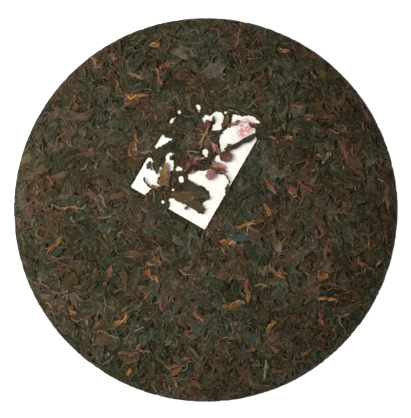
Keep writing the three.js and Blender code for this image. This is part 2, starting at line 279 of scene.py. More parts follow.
def patch_tint(points):
    """What the patches do to a leaf's red, green and blue."""
    tone = 1 + TONE_STRENGTH * waves(points, TONE_SEED, TONE_LENGTH)
    warmth = WARMTH_STRENGTH * waves(points, WARMTH_SEED, WARMTH_LENGTH)
    return tone[:, None] ** FOLLOWS * (1 + warmth[:, None] * WARMTH)


def to_slip(x, y):
    """How far along and across the slip a place on the cake lies from the slip's middle."""
    dx = x - SLIP_MIDDLE[0]
    dy = y - SLIP_MIDDLE[1]
    along = dx * math.cos(SLIP_HEADING) + dy * math.sin(SLIP_HEADING)
    across = dx * math.sin(SLIP_HEADING) - dy * math.cos(SLIP_HEADING)
    return along, across


def from_slip(along, across):
    """The place on the cake of a place on the slip."""
    x = SLIP_MIDDLE[0] + along * math.cos(SLIP_HEADING) + across * math.sin(SLIP_HEADING)
    y = SLIP_MIDDLE[1] + along * math.sin(SLIP_HEADING) - across * math.cos(SLIP_HEADING)
    return x, y


def past_slip_edge(along, across):
    """How far outside the slip's nearest edge a point lies, and less than nothing on the slip."""
    return np.maximum(np.abs(along) - SLIP_LENGTH / 2, np.abs(across) - SLIP_WIDTH / 2)


def is_inside(along, across, outline):
    """Which points lie inside an outline, by counting the sides that each one looks across."""
    inside = np.zeros(np.shape(along), dtype=bool)
    for (a0, c0), (a1, c1) in zip(outline, outline[1:] + outline[:1]):
        if c0 == c1:
            continue
        crossing = (c0 > across) != (c1 > across)
        inside ^= crossing & (along < a0 + (a1 - a0) * (across - c0) / (c1 - c0))
    return inside


def paper_shows(along, across):
    """Which points on the slip lie where no leaf covers it, with ragged borders."""
    shows = np.zeros(np.shape(along), dtype=bool)
    for speck_along, speck_across, reach in WHITE_SPECKS:
        shows |= np.hypot(along - speck_along, across - speck_across) < reach
    torn_along = along + RAGGED_MM * np.sin(2.1 * across + 1.9 * np.sin(1.6 * along))
    torn_across = across + RAGGED_MM * np.sin(2.4 * along + 1.7 * np.sin(1.9 * across))
    for outline in BARE_PARTS:
        shows |= is_inside(torn_along, torn_across, outline)
    return shows


def slip_cover(x, y):
    """Where leaves may not lie (bare paper), and where they lie over the slip."""
    along, across = to_slip(x, y)
    near = past_slip_edge(along, across) < SLIP_BORDER
    shows = paper_shows(along, across)
    return near & shows, near & ~shows


# Masters: one piece of each kind of leaf, modelled at real size along +X with its face up

# How square a leaf's outline is, how far its midrib sways as a share of the width, and how far the
# sway and the rolling fold turn from one column to the next
LEAF_SHOULDER = 2.2
LEAF_SWAY = 0.07
SWAY_TURN = 1.9
FOLD_TURN = 0.9

# The outer band that curls, as a share of the width, and how far in it moves as a share of its rise
CURLED_FROM = 0.34
CURLED_IN = 0.3

# The crease along the midrib: its reach as a share of the width, and how deep it is
CREASE_REACH = 0.12
CREASE_SINK = -0.3

# How deep the soft folds are, how thick a swollen leaf is, and how near its column a vertex lies
LEAF_FOLDS = 0.9
LEAF_THICKNESS = 0.28
SAME_PLACE = 0.01

# Rolled pieces are lumpy by a share of their width; flakes and crumbs are crinkled scraps
ROLL_LUMPS = 0.35
FLAKE_SIDES = 14
FLAKE_FOLD_SIZE = 1.6
FLAKE_FOLDS = 1.2
FLAKE_THICKNESS = 0.3
CRUMB_LENGTH = 1.5
CRUMB_WIDTH = 0.9
CRUMB_BENT_FROM = 0.3
CRUMB_BENT_BY = (0.25, 0.2, 0)
CRUMB_FOLD_SIZE = 0.6
CRUMB_FOLDS = 0.5


def vertex_places(piece):
    """Where a piece's vertices are, as one array."""
    return np.array([vertex.co[:] for vertex in piece.data.vertices])


def move_vertices(piece, places):
    """Moves a piece's vertices to places in millimetres."""
    piece.data.vertices.foreach_set("co", (places * MM).ravel())
    piece.data.update()


def start_master(name):
    """Names the piece just added and selects all of it in edit mode."""
    piece = bpy.context.object
    piece.name = name
    bpy.ops.object.mode_set(mode="EDIT")
    bpy.ops.mesh.select_mode(type="VERT")
    bpy.ops.mesh.select_all(action="SELECT")
    return piece


def pick(piece, rule):
    """Selects in edit mode only the vertices whose place passes the rule."""
    bpy.ops.mesh.select_all(action="DESELECT")
    bpy.ops.object.mode_set(mode="OBJECT")
    for vertex in piece.data.vertices:
        vertex.select = rule(vertex.co)
    bpy.ops.object.mode_set(mode="EDIT")


def wrinkle(piece, size, strength, direction="Z"):
    """Uneven folds of about the given size, from soft clouds."""
    clouds = bpy.data.textures.new(piece.name + "_folds", "CLOUDS")
    clouds.noise_scale = size
    modifier = piece.modifiers.new("folds", "DISPLACE")
    modifier.texture = clouds
    modifier.texture_coords = "LOCAL"
    modifier.direction = direction
    modifier.strength = strength
    bpy.ops.object.modifier_apply(modifier=modifier.name)


def thicken(piece, thickness, offset=-1):
    """Gives a thin skin its thickness: below it, or half to each side with no offset."""
    modifier = piece.modifiers.new("thick", "SOLIDIFY")
    modifier.thickness = thickness
    modifier.offset = offset
    bpy.ops.object.modifier_apply(modifier=modifier.name)


def finish_master(piece):
    """Turns a master's faces out and hands over its vertices and triangles; the piece goes."""
    bpy.ops.object.mode_set(mode="EDIT")
    bpy.ops.mesh.select_all(action="SELECT")
    bpy.ops.mesh.normals_make_consistent(inside=False)
    bpy.ops.mesh.quads_convert_to_tris()
    bpy.ops.object.mode_set(mode="OBJECT")
    places = vertex_places(piece)
    corners = np.array([polygon.vertices[:] for polygon in piece.data.polygons])
    bpy.data.objects.remove(piece)
    return {"places": places, "corners": corners, "size": np.ptp(places, axis=0)}


def leaf_width(share, point, blunt):
    """Width of a leaf along its length; point sharpens the tip, blunt widens both ends."""
    return max(blunt, (1 - abs(share) ** LEAF_SHOULDER)) * (1 - point * max(share, 0) ** 2)


def whole_leaf(name, length, width, curl, fold, point, fold_size, columns=7, rows=4, blunt=0.2):
    """A flat whole leaf: edges curled up, creased down its midrib, with soft folds."""
    bpy.ops.mesh.primitive_grid_add(x_subdivisions=columns, y_subdivisions=rows, size=1)
    leaf = start_master(name)
    bpy.ops.transform.resize(value=(length, width, 1))
    for column in range(columns + 1):
        at = length * (column / columns - 0.5)
        pick(leaf, lambda co: abs(co.x - at) < SAME_PLACE)
        narrow = leaf_width(2 * at / length, point, blunt)
        bpy.ops.transform.resize(value=(1, narrow, 1), center_override=(at, 0, 0))
        sway = LEAF_SWAY * width * math.sin(SWAY_TURN * column + length)
        rise = fold * math.sin(FOLD_TURN * column + width)
        bpy.ops.transform.translate(value=(0, sway, rise))
    for side in (-1, 1):
        pick(leaf, lambda co: side * co.y > CURLED_FROM * width)
        bpy.ops.transform.translate(value=(0, -side * CURLED_IN * abs(curl), curl))
    pick(leaf, lambda co: abs(co.y) < CREASE_REACH * width)
    bpy.ops.transform.translate(value=(0, 0, CREASE_SINK))
    bpy.ops.object.mode_set(mode="OBJECT")
    wrinkle(leaf, fold_size, LEAF_FOLDS)
    thicken(leaf, LEAF_THICKNESS, offset=0)
    return finish_master(leaf)


def rolled_piece(name, length, width, taper, flatness, sides, twist):
    """A rolled leaf or stalk: a ring drawn out station by station, swelling and turning."""
    widths = [width * share for share in taper]
    bpy.ops.mesh.primitive_circle_add(
        vertices=sides, radius=0.5, fill_type="NGON", rotation=(0, math.radians(90), 0),
        location=(-length / 2, 0, 0),
    )
    bpy.ops.object.transform_apply(location=True, rotation=True, scale=True)
    roll = start_master(name)
    step = length / (len(widths) - 1)
    bpy.ops.transform.resize(value=(1, widths[0], widths[0] * flatness))
    for station in range(1, len(widths)):
        bpy.ops.mesh.extrude_region_move(TRANSFORM_OT_translate={"value": (step, 0, 0)})
        grow = widths[station] / widths[station - 1]
        bpy.ops.transform.resize(value=(1, grow, grow))
        at = station * step - length / 2
        bpy.ops.transform.rotate(value=twist, orient_axis="X", center_override=(at, 0, 0))
    bpy.ops.object.mode_set(mode="OBJECT")
    fold_size = 0.8 + 0.1 * sides
    wrinkle(roll, fold_size, ROLL_LUMPS * max(widths), "NORMAL")
    return finish_master(roll)


def flake(name, across):
    """A round crinkled flake, such as a husk or a petal."""
    bpy.ops.mesh.primitive_circle_add(vertices=FLAKE_SIDES, radius=across / 2, fill_type="TRIFAN")
    round_flake = start_master(name)
    bpy.ops.mesh.subdivide(number_cuts=1)
    bpy.ops.object.mode_set(mode="OBJECT")
    wrinkle(round_flake, FLAKE_FOLD_SIZE, FLAKE_FOLDS)
    thicken(round_flake, FLAKE_THICKNESS)
    return finish_master(round_flake)


def crumb(name, flatness):
    """A broken scrap of leaf."""
    bpy.ops.mesh.primitive_ico_sphere_add(subdivisions=1, radius=0.5)
    scrap = start_master(name)
    bpy.ops.transform.resize(value=(CRUMB_LENGTH, CRUMB_WIDTH, flatness))
    pick(scrap, lambda co: co.x > CRUMB_BENT_FROM)
    bpy.ops.transform.translate(value=CRUMB_BENT_BY)
    bpy.ops.object.mode_set(mode="OBJECT")
    wrinkle(scrap, CRUMB_FOLD_SIZE, CRUMB_FOLDS, "NORMAL")
    return finish_master(scrap)


# How the width of a rolled piece goes along its length
STRAND_TAPER = [0.35, 0.8, 1.05, 0.9, 1.1, 0.95, 0.7, 0.25]
FINE_TAPER = [0.3, 0.9, 1.0, 1.05, 0.9, 0.8, 0.3]
STALK_TAPER = [0.7, 0.95, 0.8, 0.85, 1.1, 0.75, 0.6]

bpy.ops.object.select_all(action="DESELECT")
WHOLE_LEAVES = [
    whole_leaf("leaf_cupped", 14, 5, curl=0.45, fold=0.2, point=0.3, fold_size=2.6),
    whole_leaf("leaf_folded", 15, 4.6, curl=-0.4, fold=0.3, point=0.5, fold_size=1.9),
    whole_leaf("leaf_wavy", 13, 5.6, curl=0.1, fold=0.4, point=0.1, fold_size=3.4),
    whole_leaf("leaf_creased", 16, 5.2, curl=0.3, fold=-0.3, point=0.4, fold_size=1.4),
]
STRANDS = [
    rolled_piece("strand_tight", 16, 1.9, STRAND_TAPER, flatness=0.5, sides=6, twist=0.5),
    rolled_piece("strand_loose", 15, 2.5, STRAND_TAPER, flatness=0.32, sides=6, twist=0.3),
    rolled_piece("strand_ribbed", 17, 1.6, STRAND_TAPER, flatness=0.5, sides=6, twist=-0.7),
]
FINE_STRANDS = [
    rolled_piece("fine_strand", 12, 1.1, FINE_TAPER, flatness=0.7, sides=5, twist=0.6),
    rolled_piece("fine_strand_flat", 11, 1.4, FINE_TAPER, flatness=0.45, sides=5, twist=0.2),
]
STALKS = [rolled_piece("stalk", 13, 1.2, STALK_TAPER, flatness=0.8, sides=5, twist=0.05)]
BROKEN_LEAVES = [
    whole_leaf("broken_leaf_wide", 5, 3.4, 0.2, 0.25, -0.2, 1.3, columns=3, rows=2, blunt=0.6),
    whole_leaf("broken_leaf_narrow", 6, 2.4, -0.2, 0.3, 0.3, 1.1, columns=3, rows=2, blunt=0.45),
]
CRUMBS = [crumb("crumb_thick", flatness=0.5), crumb("crumb_flat", flatness=0.25)]
FLAKES = [flake("round_flake", across=6)]

# Leaf colours, each with how often it is drawn
CURED_DARK = [
    ("#3d3726", 5), ("#383423", 4), ("#433b29", 4), ("#4a402e", 3), ("#3b3b2a", 3.5), ("#52472f", 1.5),
    ("#473828", 2), ("#5a4e3a", 0.4),
]
CURED_OLIVE = [("#45402c", 3), ("#4f4733", 3), ("#3f402e", 3), ("#5a503b", 0.7), ("#4b4030", 2)]
CURED_BROWN = [
    ("#54452f", 3), ("#5c4a34", 3), ("#4a3c2a", 3), ("#6a543d", 1.4), ("#634433", 1), ("#70604a", 0.8),
]
FINE_BROWN = [
    ("#5a4d39", 3), ("#6a5a45", 3), ("#7d6c55", 1.4), ("#4a3f2e", 3), ("#6b4a3a", 1), ("#8b7b63", 0.5),
]
GOLDEN = [("#704e30", 3), ("#7d5a39", 2), ("#66442d", 3), ("#866747", 1), ("#6e4432", 2)]
STALK_TAN = [("#6b563f", 3), ("#5c4a38", 3), ("#7d684e", 1.2), ("#643f32", 1)]


def drawn_colours(draw, palette, count):
    """Linear colours drawn from a palette, each leaf a little lighter or darker than its fellows."""
    weights = np.array([weight for _, weight in palette], dtype=float)
    picks = draw.choice(len(palette), size=count, p=weights / weights.sum())
    colours = np.array([linear(shade)[:3] for shade, _ in palette])[picks]
    return REFLECTED * colours * np.exp(draw.normal(0, SHADE_SPREAD, (count, 1)) * FOLLOWS)


# Laying copies of the masters on the skin

GOLDEN_ANGLE = math.pi * (3 - math.sqrt(5))

# Stations along a leaf's middle line, how sharply a kink turns it, and how it wiggles besides
STATIONS = 25
KINK_SHARPNESS = 9
WIGGLE = 0.25
WIGGLE_TURNS = 9

# Where the skin faces nearly along X, headings are measured from Y
FACES_X = 0.25

# Every how many stations, and how far to each side, a leaf is compared with the slip under it
LOOK_EVERY = 3
LOOK_SIDES = (-0.55, 0, 0.55)

# Waves in a leaf's two edges, as (share of its width, turns along it, shift, shift between edges)
EDGE_WAVES = [(0.24, 7, 1.0, 1.7), (0.17, 17, 2.3, -1.1)]

# How much of a master's thickness a narrower copy keeps, and how its edges curl and its middle waves
THICKNESS_KEPT = 0.6
CURL_TURNS = 5
WAVE_HEIGHT = 0.12
WAVE_TURNS = 11

# How far over the floor the lowest leaf ends
FLOOR_GAP = 0.02

# How far apart the patterns of two leaves are read, by a leaf's phase
PATTERN_APART = 10


def skin_places(count, turn):
    """Points spread evenly over the whole skin, by the golden angle."""
    shares = (np.arange(count) + 0.5) / count
    radius = np.interp(shares, SKIN_AREA, SKIN[:, 0])
    height = np.interp(shares, SKIN_AREA, SKIN[:, 1])
    angle = np.arange(count) * GOLDEN_ANGLE + turn
    return np.stack([radius * np.cos(angle), radius * np.sin(angle), height], axis=1)


def spines(batch):
    """Each leaf's middle line in its own flat plane: places and headings at even stations."""
    stations = np.linspace(-0.5, 0.5, STATIONS)
    bend = batch["bend"][:, None] * stations
    past_kink = np.tanh(KINK_SHARPNESS * (stations - batch["kink_at"][:, None]))
    kink = 0.5 * batch["kink"][:, None] * past_kink
    wiggle = WIGGLE * np.sin(WIGGLE_TURNS * stations + batch["phase"][:, None])
    heading = bend + kink + wiggle
    step = batch["length"][:, None] / (STATIONS - 1)
    along = np.cumsum(np.cos(heading) * step, axis=1)
    across = np.cumsum(np.sin(heading) * step, axis=1)
    return along - along.mean(axis=1)[:, None], across - across.mean(axis=1)[:, None], heading


def skin_axes(at, heading):
    """The foot, and the directions along and across a heading in the skin's plane at points."""
    feet, normals = nearest_skin(at)
    east = np.array([1.0, 0, 0]) - normals * normals[:, :1]
    north_first = np.linalg.norm(east, axis=1) < FACES_X
    east[north_first] = (np.array([0, 1.0, 0]) - normals * normals[:, 1:2])[north_first]
    east /= np.linalg.norm(east, axis=1, keepdims=True)
    north = np.cross(normals, east)
    turn_x = np.cos(heading)[:, None]
    turn_y = np.sin(heading)[:, None]
    return feet, east * turn_x + north * turn_y, north * turn_x - east * turn_y


def new_batch(draw, at, length, width, lift, bend, kink):
    """Drawn sizes and turns for leaves at given places; each range is (least, most)."""
    count = len(at)
    return {
        "at": at,
        "heading": draw.uniform(0, 2 * math.pi, count),
        "length": draw.uniform(*length, count),
        "width": draw.uniform(*width, count),
        "lift": draw.uniform(*lift, count),
        "bend": draw.uniform(-bend, bend, count),
        "kink": draw.uniform(-kink, kink, count) * (draw.uniform(0, 1, count) < 0.4),
        "kink_at": draw.uniform(-0.3, 0.3, count),
        "phase": draw.uniform(0, 2 * math.pi, count),
        "tilt": draw.uniform(-0.35, 0.35, count),
        "dip": draw.uniform(0.1, 0.8, count),
        "roll": draw.uniform(-0.3, 0.3, count),
        "curl": draw.uniform(-0.35, 0.35, count),
        "ragged": draw.uniform(0.2, 1.0, count),
        "above": np.zeros(count),
        "over_slip": np.zeros(count, dtype=bool),
        "master": draw.integers(0, 100, count),
    }


def kept(batch, keep):
    """The chosen leaves of a batch."""
    return {key: values[keep] for key, values in batch.items()}


def beside_slip(batch):
    """Marks the leaves that run under the slip and those that bury it."""
    along, across, _ = spines(batch)
    feet, forward, sideways = skin_axes(batch["at"], batch["heading"])
    over_bare = np.zeros(len(feet), dtype=bool)
    over_buried = np.zeros(len(feet), dtype=bool)
    on_face = feet[:, 2] > RIM_HEIGHT
    for station in range(0, STATIONS, LOOK_EVERY):
        for side in LOOK_SIDES:
            spot = feet + forward * along[:, station, None]
            spot = spot + sideways * (across[:, station] + side * batch["width"])[:, None]
            bare, buried = slip_cover(spot[:, 0], spot[:, 1])
            over_bare |= bare & on_face
            over_buried |= buried & on_face
    batch["over_slip"] = over_buried & ~over_bare
    batch["under_slip"] = over_bare
    return batch


def painted_leaf_shade(height, normal_z, radius):
    """Painted light and shade on a leaf, by its height over the skin and by where on the cake it lies."""
    # Painted shade in the hollows and painted light on the tops of the leaf layer
    top_light_share = np.clip((height + HOLLOW_BELOW) / TOP_LIGHT_REACH, 0, 1)
    light = (PAINTED_HOLLOW_SHADE + PAINTED_TOP_LIGHT * top_light_share) * np.interp(normal_z, STEEP_AT, PAINTED_STEEP_SHADE)
    # Painted shade that grows from the crown towards the rim
    return light * (1 - PAINTED_RIM_SHADE * (radius / BODY_RADIUS) ** 2)


def at_shares(table, share):
    """Values known at even stations, read at shares of the leaf from -0.5 to 0.5."""
    station = (share + 0.5) * (STATIONS - 1)
    before = np.minimum(station.astype(int), STATIONS - 2)
    part = station - before
    return table[:, before] * (1 - part) + table[:, before + 1] * part


def bent_copies(leaves, places, share, edge, width):
    """Copies of a master, ragged, curled and bent: places along and across a plane, and heights."""
    along, across, heading = spines(leaves)
    own = {key: values[:, None] for key, values in leaves.items()}
    ragged = sum(
        depth * np.sin(turns * share + shift * own["phase"] + apart * np.sign(edge))
        for depth, turns, shift, apart in EDGE_WAVES
    )
    wide = places[:, 1] * own["width"] / width * (1 + ragged * own["ragged"])
    swelling = THICKNESS_KEPT + (1 - THICKNESS_KEPT) * own["width"] / width
    curling = own["curl"] * edge**2 * np.cos(CURL_TURNS * share + own["phase"])
    high = places[:, 2] * swelling + curling
    roll = own["roll"] * (1 + share)
    side = wide * np.cos(roll) - high * np.sin(roll)
    rise = wide * np.sin(roll) + high * np.cos(roll)
    turn = at_shares(heading, share)
    flat_along = at_shares(along, share) - side * np.sin(turn)
    flat_across = at_shares(across, share) + side * np.cos(turn)
    wave = WAVE_HEIGHT * np.sin(WAVE_TURNS * share + 2 * own["phase"])
    height = own["lift"] + 2 * own["tilt"] * share + wave + rise
    return flat_along, flat_across, height - own["dip"] * np.abs(2 * share) ** 3


def settled(height, foot, normal, over_slip, under_slip, above):
    """Heights pressed flat, raised where the leaf buries the slip and held down under the slip."""
    height = pressed(height) * flattened(normal[:, 2])
    past_edge = past_slip_edge(*to_slip(foot[:, 0], foot[:, 1]))
    climb = OVER_SLIP * np.clip(1 - past_edge / CLIMB_REACH, 0, 1)
    height = height + over_slip * climb + above
    room = UNDER_SLIP + np.maximum(past_edge - TUCKED_REACH, 0)
    tucked = under_slip & (foot[:, 2] > RIM_HEIGHT)
    return np.where(tucked, np.minimum(height, room), height)


def laid_copies(batch, masters, colours, tips):
    """Vertices, triangles, colours with painted light and shade (with how near the leaf's edge) and leaf
    places of a batch.
    """
    meshes = []
    for kind, master in enumerate(masters):
        chosen = np.flatnonzero(batch["master"] % len(masters) == kind)
        leaves = kept(batch, chosen)
        places = master["places"]
        length, width = master["size"][:2]
        share = np.clip(places[:, 0] / length, -0.5, 0.5)
        edge = places[:, 1] / (0.5 * width)
        flat_along, flat_across, height = bent_copies(leaves, places, share, edge, width)
        feet, forward, sideways = skin_axes(leaves["at"], leaves["heading"])
        spot = feet[:, None, :] + forward[:, None, :] * flat_along[:, :, None]
        spot = spot + sideways[:, None, :] * flat_across[:, :, None]
        foot, normal = nearest_skin(spot.reshape(-1, 3))
        over_slip, under_slip, above = [
            np.repeat(leaves[key], len(places)) for key in ("over_slip", "under_slip", "above")
        ]
        height = settled(height.reshape(-1), foot, normal, over_slip, under_slip, above)
        lifted = height + recess(normal[:, 2])
        vertices = foot + normal * lifted[:, None]
        vertices[:, 2] = np.maximum(vertices[:, 2], FLOOR_GAP)
        corners = master["corners"][None, :, :] + (np.arange(len(chosen)) * len(places))[:, None, None]
        # Painted light and shade, multiplied into each leaf's colour
        light = painted_leaf_shade(height, normal[:, 2], np.hypot(foot[:, 0], foot[:, 1]))
        tipped = (share + 0.5)[None, :, None]
        shade = colours[chosen][:, None, :] * (1 - tipped) + tips[chosen][:, None, :] * tipped
        shade = shade.reshape(-1, 3) * light[:, None] ** FOLLOWS
        # How near the leaf's edge each vertex lies, for the painted edge highlight
        shade = np.column_stack([shade, np.tile(np.abs(edge), len(chosen))])
        pattern = np.empty((len(chosen), len(places), 3))
        pattern[:, :, 0] = share * leaves["length"][:, None]
        pattern[:, :, 1] = places[:, 1] / width * leaves["width"][:, None]
        pattern[:, :, 2] = leaves["phase"][:, None] * PATTERN_APART
        meshes.append((vertices, corners.reshape(-1, 3), shade, pattern.reshape(-1, 3)))
    return meshes


def joined_piece(name, meshes):
    """One object from many laid meshes, with each leaf's colour and painted light and shade, and its place
    along the leaf.
    """
    counts = np.cumsum([0] + [len(vertices) for vertices, _, _, _ in meshes])
    vertices = np.concatenate([vertices for vertices, _, _, _ in meshes]) * MM
    corners = np.concatenate([mesh[1] + offset for mesh, offset in zip(meshes, counts)])
    shades = np.concatenate([shade for _, _, shade, _ in meshes])
    patterns = np.concatenate([pattern for _, _, _, pattern in meshes])
    mesh = bpy.data.meshes.new(name)
    mesh.vertices.add(len(vertices))
    mesh.vertices.foreach_set("co", vertices.ravel())
    mesh.loops.add(corners.size)
    mesh.loops.foreach_set("vertex_index", corners.ravel())
    mesh.polygons.add(len(corners))
    mesh.polygons.foreach_set("loop_start", np.arange(0, corners.size, 3))
    mesh.polygons.foreach_set("loop_total", np.full(len(corners), 3))
    mesh.update(calc_edges=True)
    colour = mesh.attributes.new("leaf_colour_and_painted_shade", "FLOAT_COLOR", "POINT")
    colour.data.foreach_set("color", shades.ravel())
    place = mesh.attributes.new("leaf_place", "FLOAT_VECTOR", "POINT")
    place.data.foreach_set("vector", patterns.ravel())
    mesh.validate()
    piece = bpy.data.objects.new(name, mesh)
    bpy.context.scene.collection.objects.link(piece)
    smooth(piece, degrees=38)
    return piece


def smooth(piece, degrees):
    """Shades a piece as one surface wherever its faces meet below the angle."""
    bpy.ops.object.select_all(action="DESELECT")
    piece.select_set(True)
    bpy.context.view_layer.objects.active = piece
    bpy.ops.object.shade_smooth_by_angle(angle=math.radians(degrees))


def belongs_to_cake(piece, material):
    """Gives a piece its material, and lets it stand for the solid's pressed tea."""
    piece.data.materials.clear()
    piece.data.materials.append(material)
    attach(piece, "root")
    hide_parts("pressed_tea")


# Materials

# How slowly the ribs' noise changes along a leaf against across it, and how wide a rib is in it
RIB_STRETCH = 0.28
RIB_WIDTH = 0.05

# Where the painted highlight on a leaf's edge begins, and how strong it is
EDGE_FROM = 0.8
EDGE_HIGHLIGHT = 0.7

# What pale ribs and painted edge highlights do to the leaf's own colour: it is multiplied, and some tan is
# added
LINE_GAIN = (1.22, 1.22, 1.22)
LINE_TAN = (0.125, 0.104, 0.077)

# Slow changes of hue along a leaf, from greener to redder and from sallow to ashen
HUE_MM = 6.0
GREENER = (0.8, 0.89, 0.81)
REDDER = (1.18, 1.02, 0.93)
SALLOW = (1.0, 1.0, 0.74)
ASHEN = (1.0, 1.0, 1.3)

# The darkest and lightest mottling of plain leaf, and of leaf flecked with down
EVEN_DARK = (0.79, 0.8, 0.66)
EVEN_LIGHT = (1.14, 1.12, 1.28)
FLECKED_DARK = (0.6, 0.47, 0.35)
FLECKED_LIGHT = (1.34, 1.46, 1.78)

# Dry leaf shines little
LEAF_GLOSS = 0.12

# Grain of the leaf dust between the leaves
DUST_MM = 1.6
DUST_DEPTH_MM = 0.4

# Fibres of the paper, drawn far coarser than real ones so that they show
FIBRE_MM = 0.9
FIBRE_DEPTH_MM = 0.08

# Where the rosy field lies on the slip, its size, and the size of its blotches
ROSY_MIDDLE = (20.5, 42)
ROSY_HEADING = math.radians(60)
ROSY_LENGTH = 12
ROSY_WIDTH = 9
ROSY_MM = 2.2


def add_node(tree, kind, settings=None, links=None):
    """Adds a node with its settings, and links its inputs from sockets or nodes' first outputs."""
    node = tree.nodes.new(kind)
    for key, value in (settings or {}).items():
        if isinstance(key, int) or key in node.inputs.keys():
            node.inputs[key].default_value = value
        else:
            setattr(node, key, value)
    for key, source in (links or {}).items():
        if isinstance(source, bpy.types.Node):
            source = source.outputs[0]
        tree.links.new(source, node.inputs[key])
    return node


# The sockets of a Mix node that take and give colours
MIX_LOW = 6
MIX_HIGH = 7
MIX_RESULT = 2


def new_material(name):
    """A material with no nodes yet, and its node tree."""
    material = bpy.data.materials.new(name)
    material.use_nodes = True
    material.node_tree.nodes.clear()
    return material, material.node_tree


def leaf_material(name, roughness, vein_mm, mottle_mm, mottle_along, dark, light, rib_light, bump_mm):
    """Cured leaf: mottled in its own colour, with thin lighter lines on its ribs and a painted highlight on
    its edges.
    """
    material, tree = new_material(name)
    colour = add_node(tree, "ShaderNodeAttribute", {"attribute_name": "leaf_colour_and_painted_shade"})
    place = add_node(tree, "ShaderNodeAttribute", {"attribute_name": "leaf_place"})
    stretch = add_node(
        tree, "ShaderNodeMapping", {"Scale": (RIB_STRETCH / vein_mm, 1 / vein_mm, 1.0)},
        {"Vector": place.outputs["Vector"]},
    )
    streaks = add_node(
        tree, "ShaderNodeTexNoise",
        {"Scale": 1.0, "Detail": 1.5, "Roughness": 0.5, "Distortion": 0.5},
        {"Vector": stretch},
    )
    centred = add_node(tree, "ShaderNodeMath", {"operation": "SUBTRACT", 1: 0.5}, {0: streaks})
    from_rib = add_node(tree, "ShaderNodeMath", {"operation": "ABSOLUTE"}, {0: centred})
    ribs = add_node(
        tree, "ShaderNodeMapRange",
        {"From Min": 0.0, "From Max": RIB_WIDTH, "To Min": rib_light, "To Max": 0.0},
        {"Value": from_rib},
    )
    # Painted highlight along the leaf's edges, as if they caught the light
    edges = add_node(
        tree, "ShaderNodeMapRange",
        {"From Min": EDGE_FROM, "From Max": 1.0, "To Min": 0.0, "To Max": EDGE_HIGHLIGHT},
        {"Value": colour.outputs["Alpha"]},
    )
    lines = add_node(tree, "ShaderNodeMath", {"operation": "MAXIMUM"}, {0: ribs, 1: edges})
    patches = add_node(
        tree, "ShaderNodeMapping", {"Scale": (1 / mottle_along, 1 / mottle_mm, 1.0)},
        {"Vector": place.outputs["Vector"]},
    )
    mottle = add_node(
        tree, "ShaderNodeTexNoise", {"Scale": 1.0, "Detail": 4.0, "Roughness": 0.62},
        {"Vector": patches},
    )
    gain = add_node(tree, "ShaderNodeMapRange", {"From Min": 0.3, "From Max": 0.7}, {"Value": mottle})
    broken_ribs_and_highlights = add_node(tree, "ShaderNodeMath", {"operation": "MULTIPLY"}, {0: lines, 1: gain})
    hue = add_node(
        tree, "ShaderNodeTexNoise", {"Scale": 1 / HUE_MM, "Detail": 1.0},
        {"Vector": place.outputs["Vector"]},
    )
    channels = add_node(tree, "ShaderNodeSeparateColor", links={"Color": hue.outputs["Color"]})
    blush, ash = [
        add_node(
            tree, "ShaderNodeMapRange", {"From Min": 0.35, "From Max": 0.65},
            {"Value": channels.outputs[channel]},
        )
        for channel in ("Red", "Blue")
    ]
    tones, reds, blues = [
        add_node(
            tree, "ShaderNodeMix", {"data_type": "RGBA", MIX_LOW: (*low, 1), MIX_HIGH: (*high, 1)},
            {"Factor": factor},
        ).outputs[MIX_RESULT]
        for factor, low, high in ((gain, dark, light), (blush, GREENER, REDDER), (ash, SALLOW, ASHEN))
    ]
    hues = add_node(tree, "ShaderNodeVectorMath", {"operation": "MULTIPLY"}, {0: reds, 1: blues})
    tint = add_node(tree, "ShaderNodeVectorMath", {"operation": "MULTIPLY"}, {0: tones, 1: hues})
    tinted = add_node(
        tree, "ShaderNodeVectorMath", {"operation": "MULTIPLY"}, {0: colour.outputs["Color"], 1: tint}
    )
    lighter = add_node(
        tree, "ShaderNodeVectorMath", {"operation": "MULTIPLY_ADD", 1: LINE_GAIN, 2: LINE_TAN},
        {0: tinted},
    )
    lined = add_node(
        tree, "ShaderNodeMix", {"data_type": "RGBA"},
        {"Factor": broken_ribs_and_highlights, MIX_LOW: tinted, MIX_HIGH: lighter},
    )
    relief = add_node(
        tree, "ShaderNodeBump", {"Strength": 0.7, "Distance": bump_mm * MM}, {"Height": broken_ribs_and_highlights}
    )
    shader = add_node(
        tree, "ShaderNodeBsdfPrincipled", {"Roughness": roughness, "Specular IOR Level": LEAF_GLOSS},
        {"Base Color": lined.outputs[MIX_RESULT], "Normal": relief},
    )
    add_node(tree, "ShaderNodeOutputMaterial", links={"Surface": shader})
    return material


def core_material():
    """Pressed leaf dust between the leaves: nearly black brown, matt and grainy."""
    material, tree = new_material("pressed_leaf_dust")
    place = add_node(tree, "ShaderNodeTexCoord")
    grain = add_node(
        tree, "ShaderNodeTexNoise", {"Scale": 1 / (DUST_MM * MM), "Detail": 4.0},
        {"Vector": place.outputs["Object"]},
    )
    tone = add_node(tree, "ShaderNodeValToRGB", links={"Fac": grain})
    tone.color_ramp.elements[0].color = linear("#312c17")
    tone.color_ramp.elements[0].position = 0.35
    tone.color_ramp.elements[1].color = linear("#463e27")
    tone.color_ramp.elements[1].position = 0.7
    bump = add_node(
        tree, "ShaderNodeBump", {"Strength": 0.8, "Distance": DUST_DEPTH_MM * MM}, {"Height": grain}
    )
    shader = add_node(
        tree, "ShaderNodeBsdfPrincipled", {"Roughness": 0.9, "Specular IOR Level": 0.2},
        {"Base Color": tone, "Normal": bump},
    )
    add_node(tree, "ShaderNodeOutputMaterial", links={"Surface": shader})
    return material


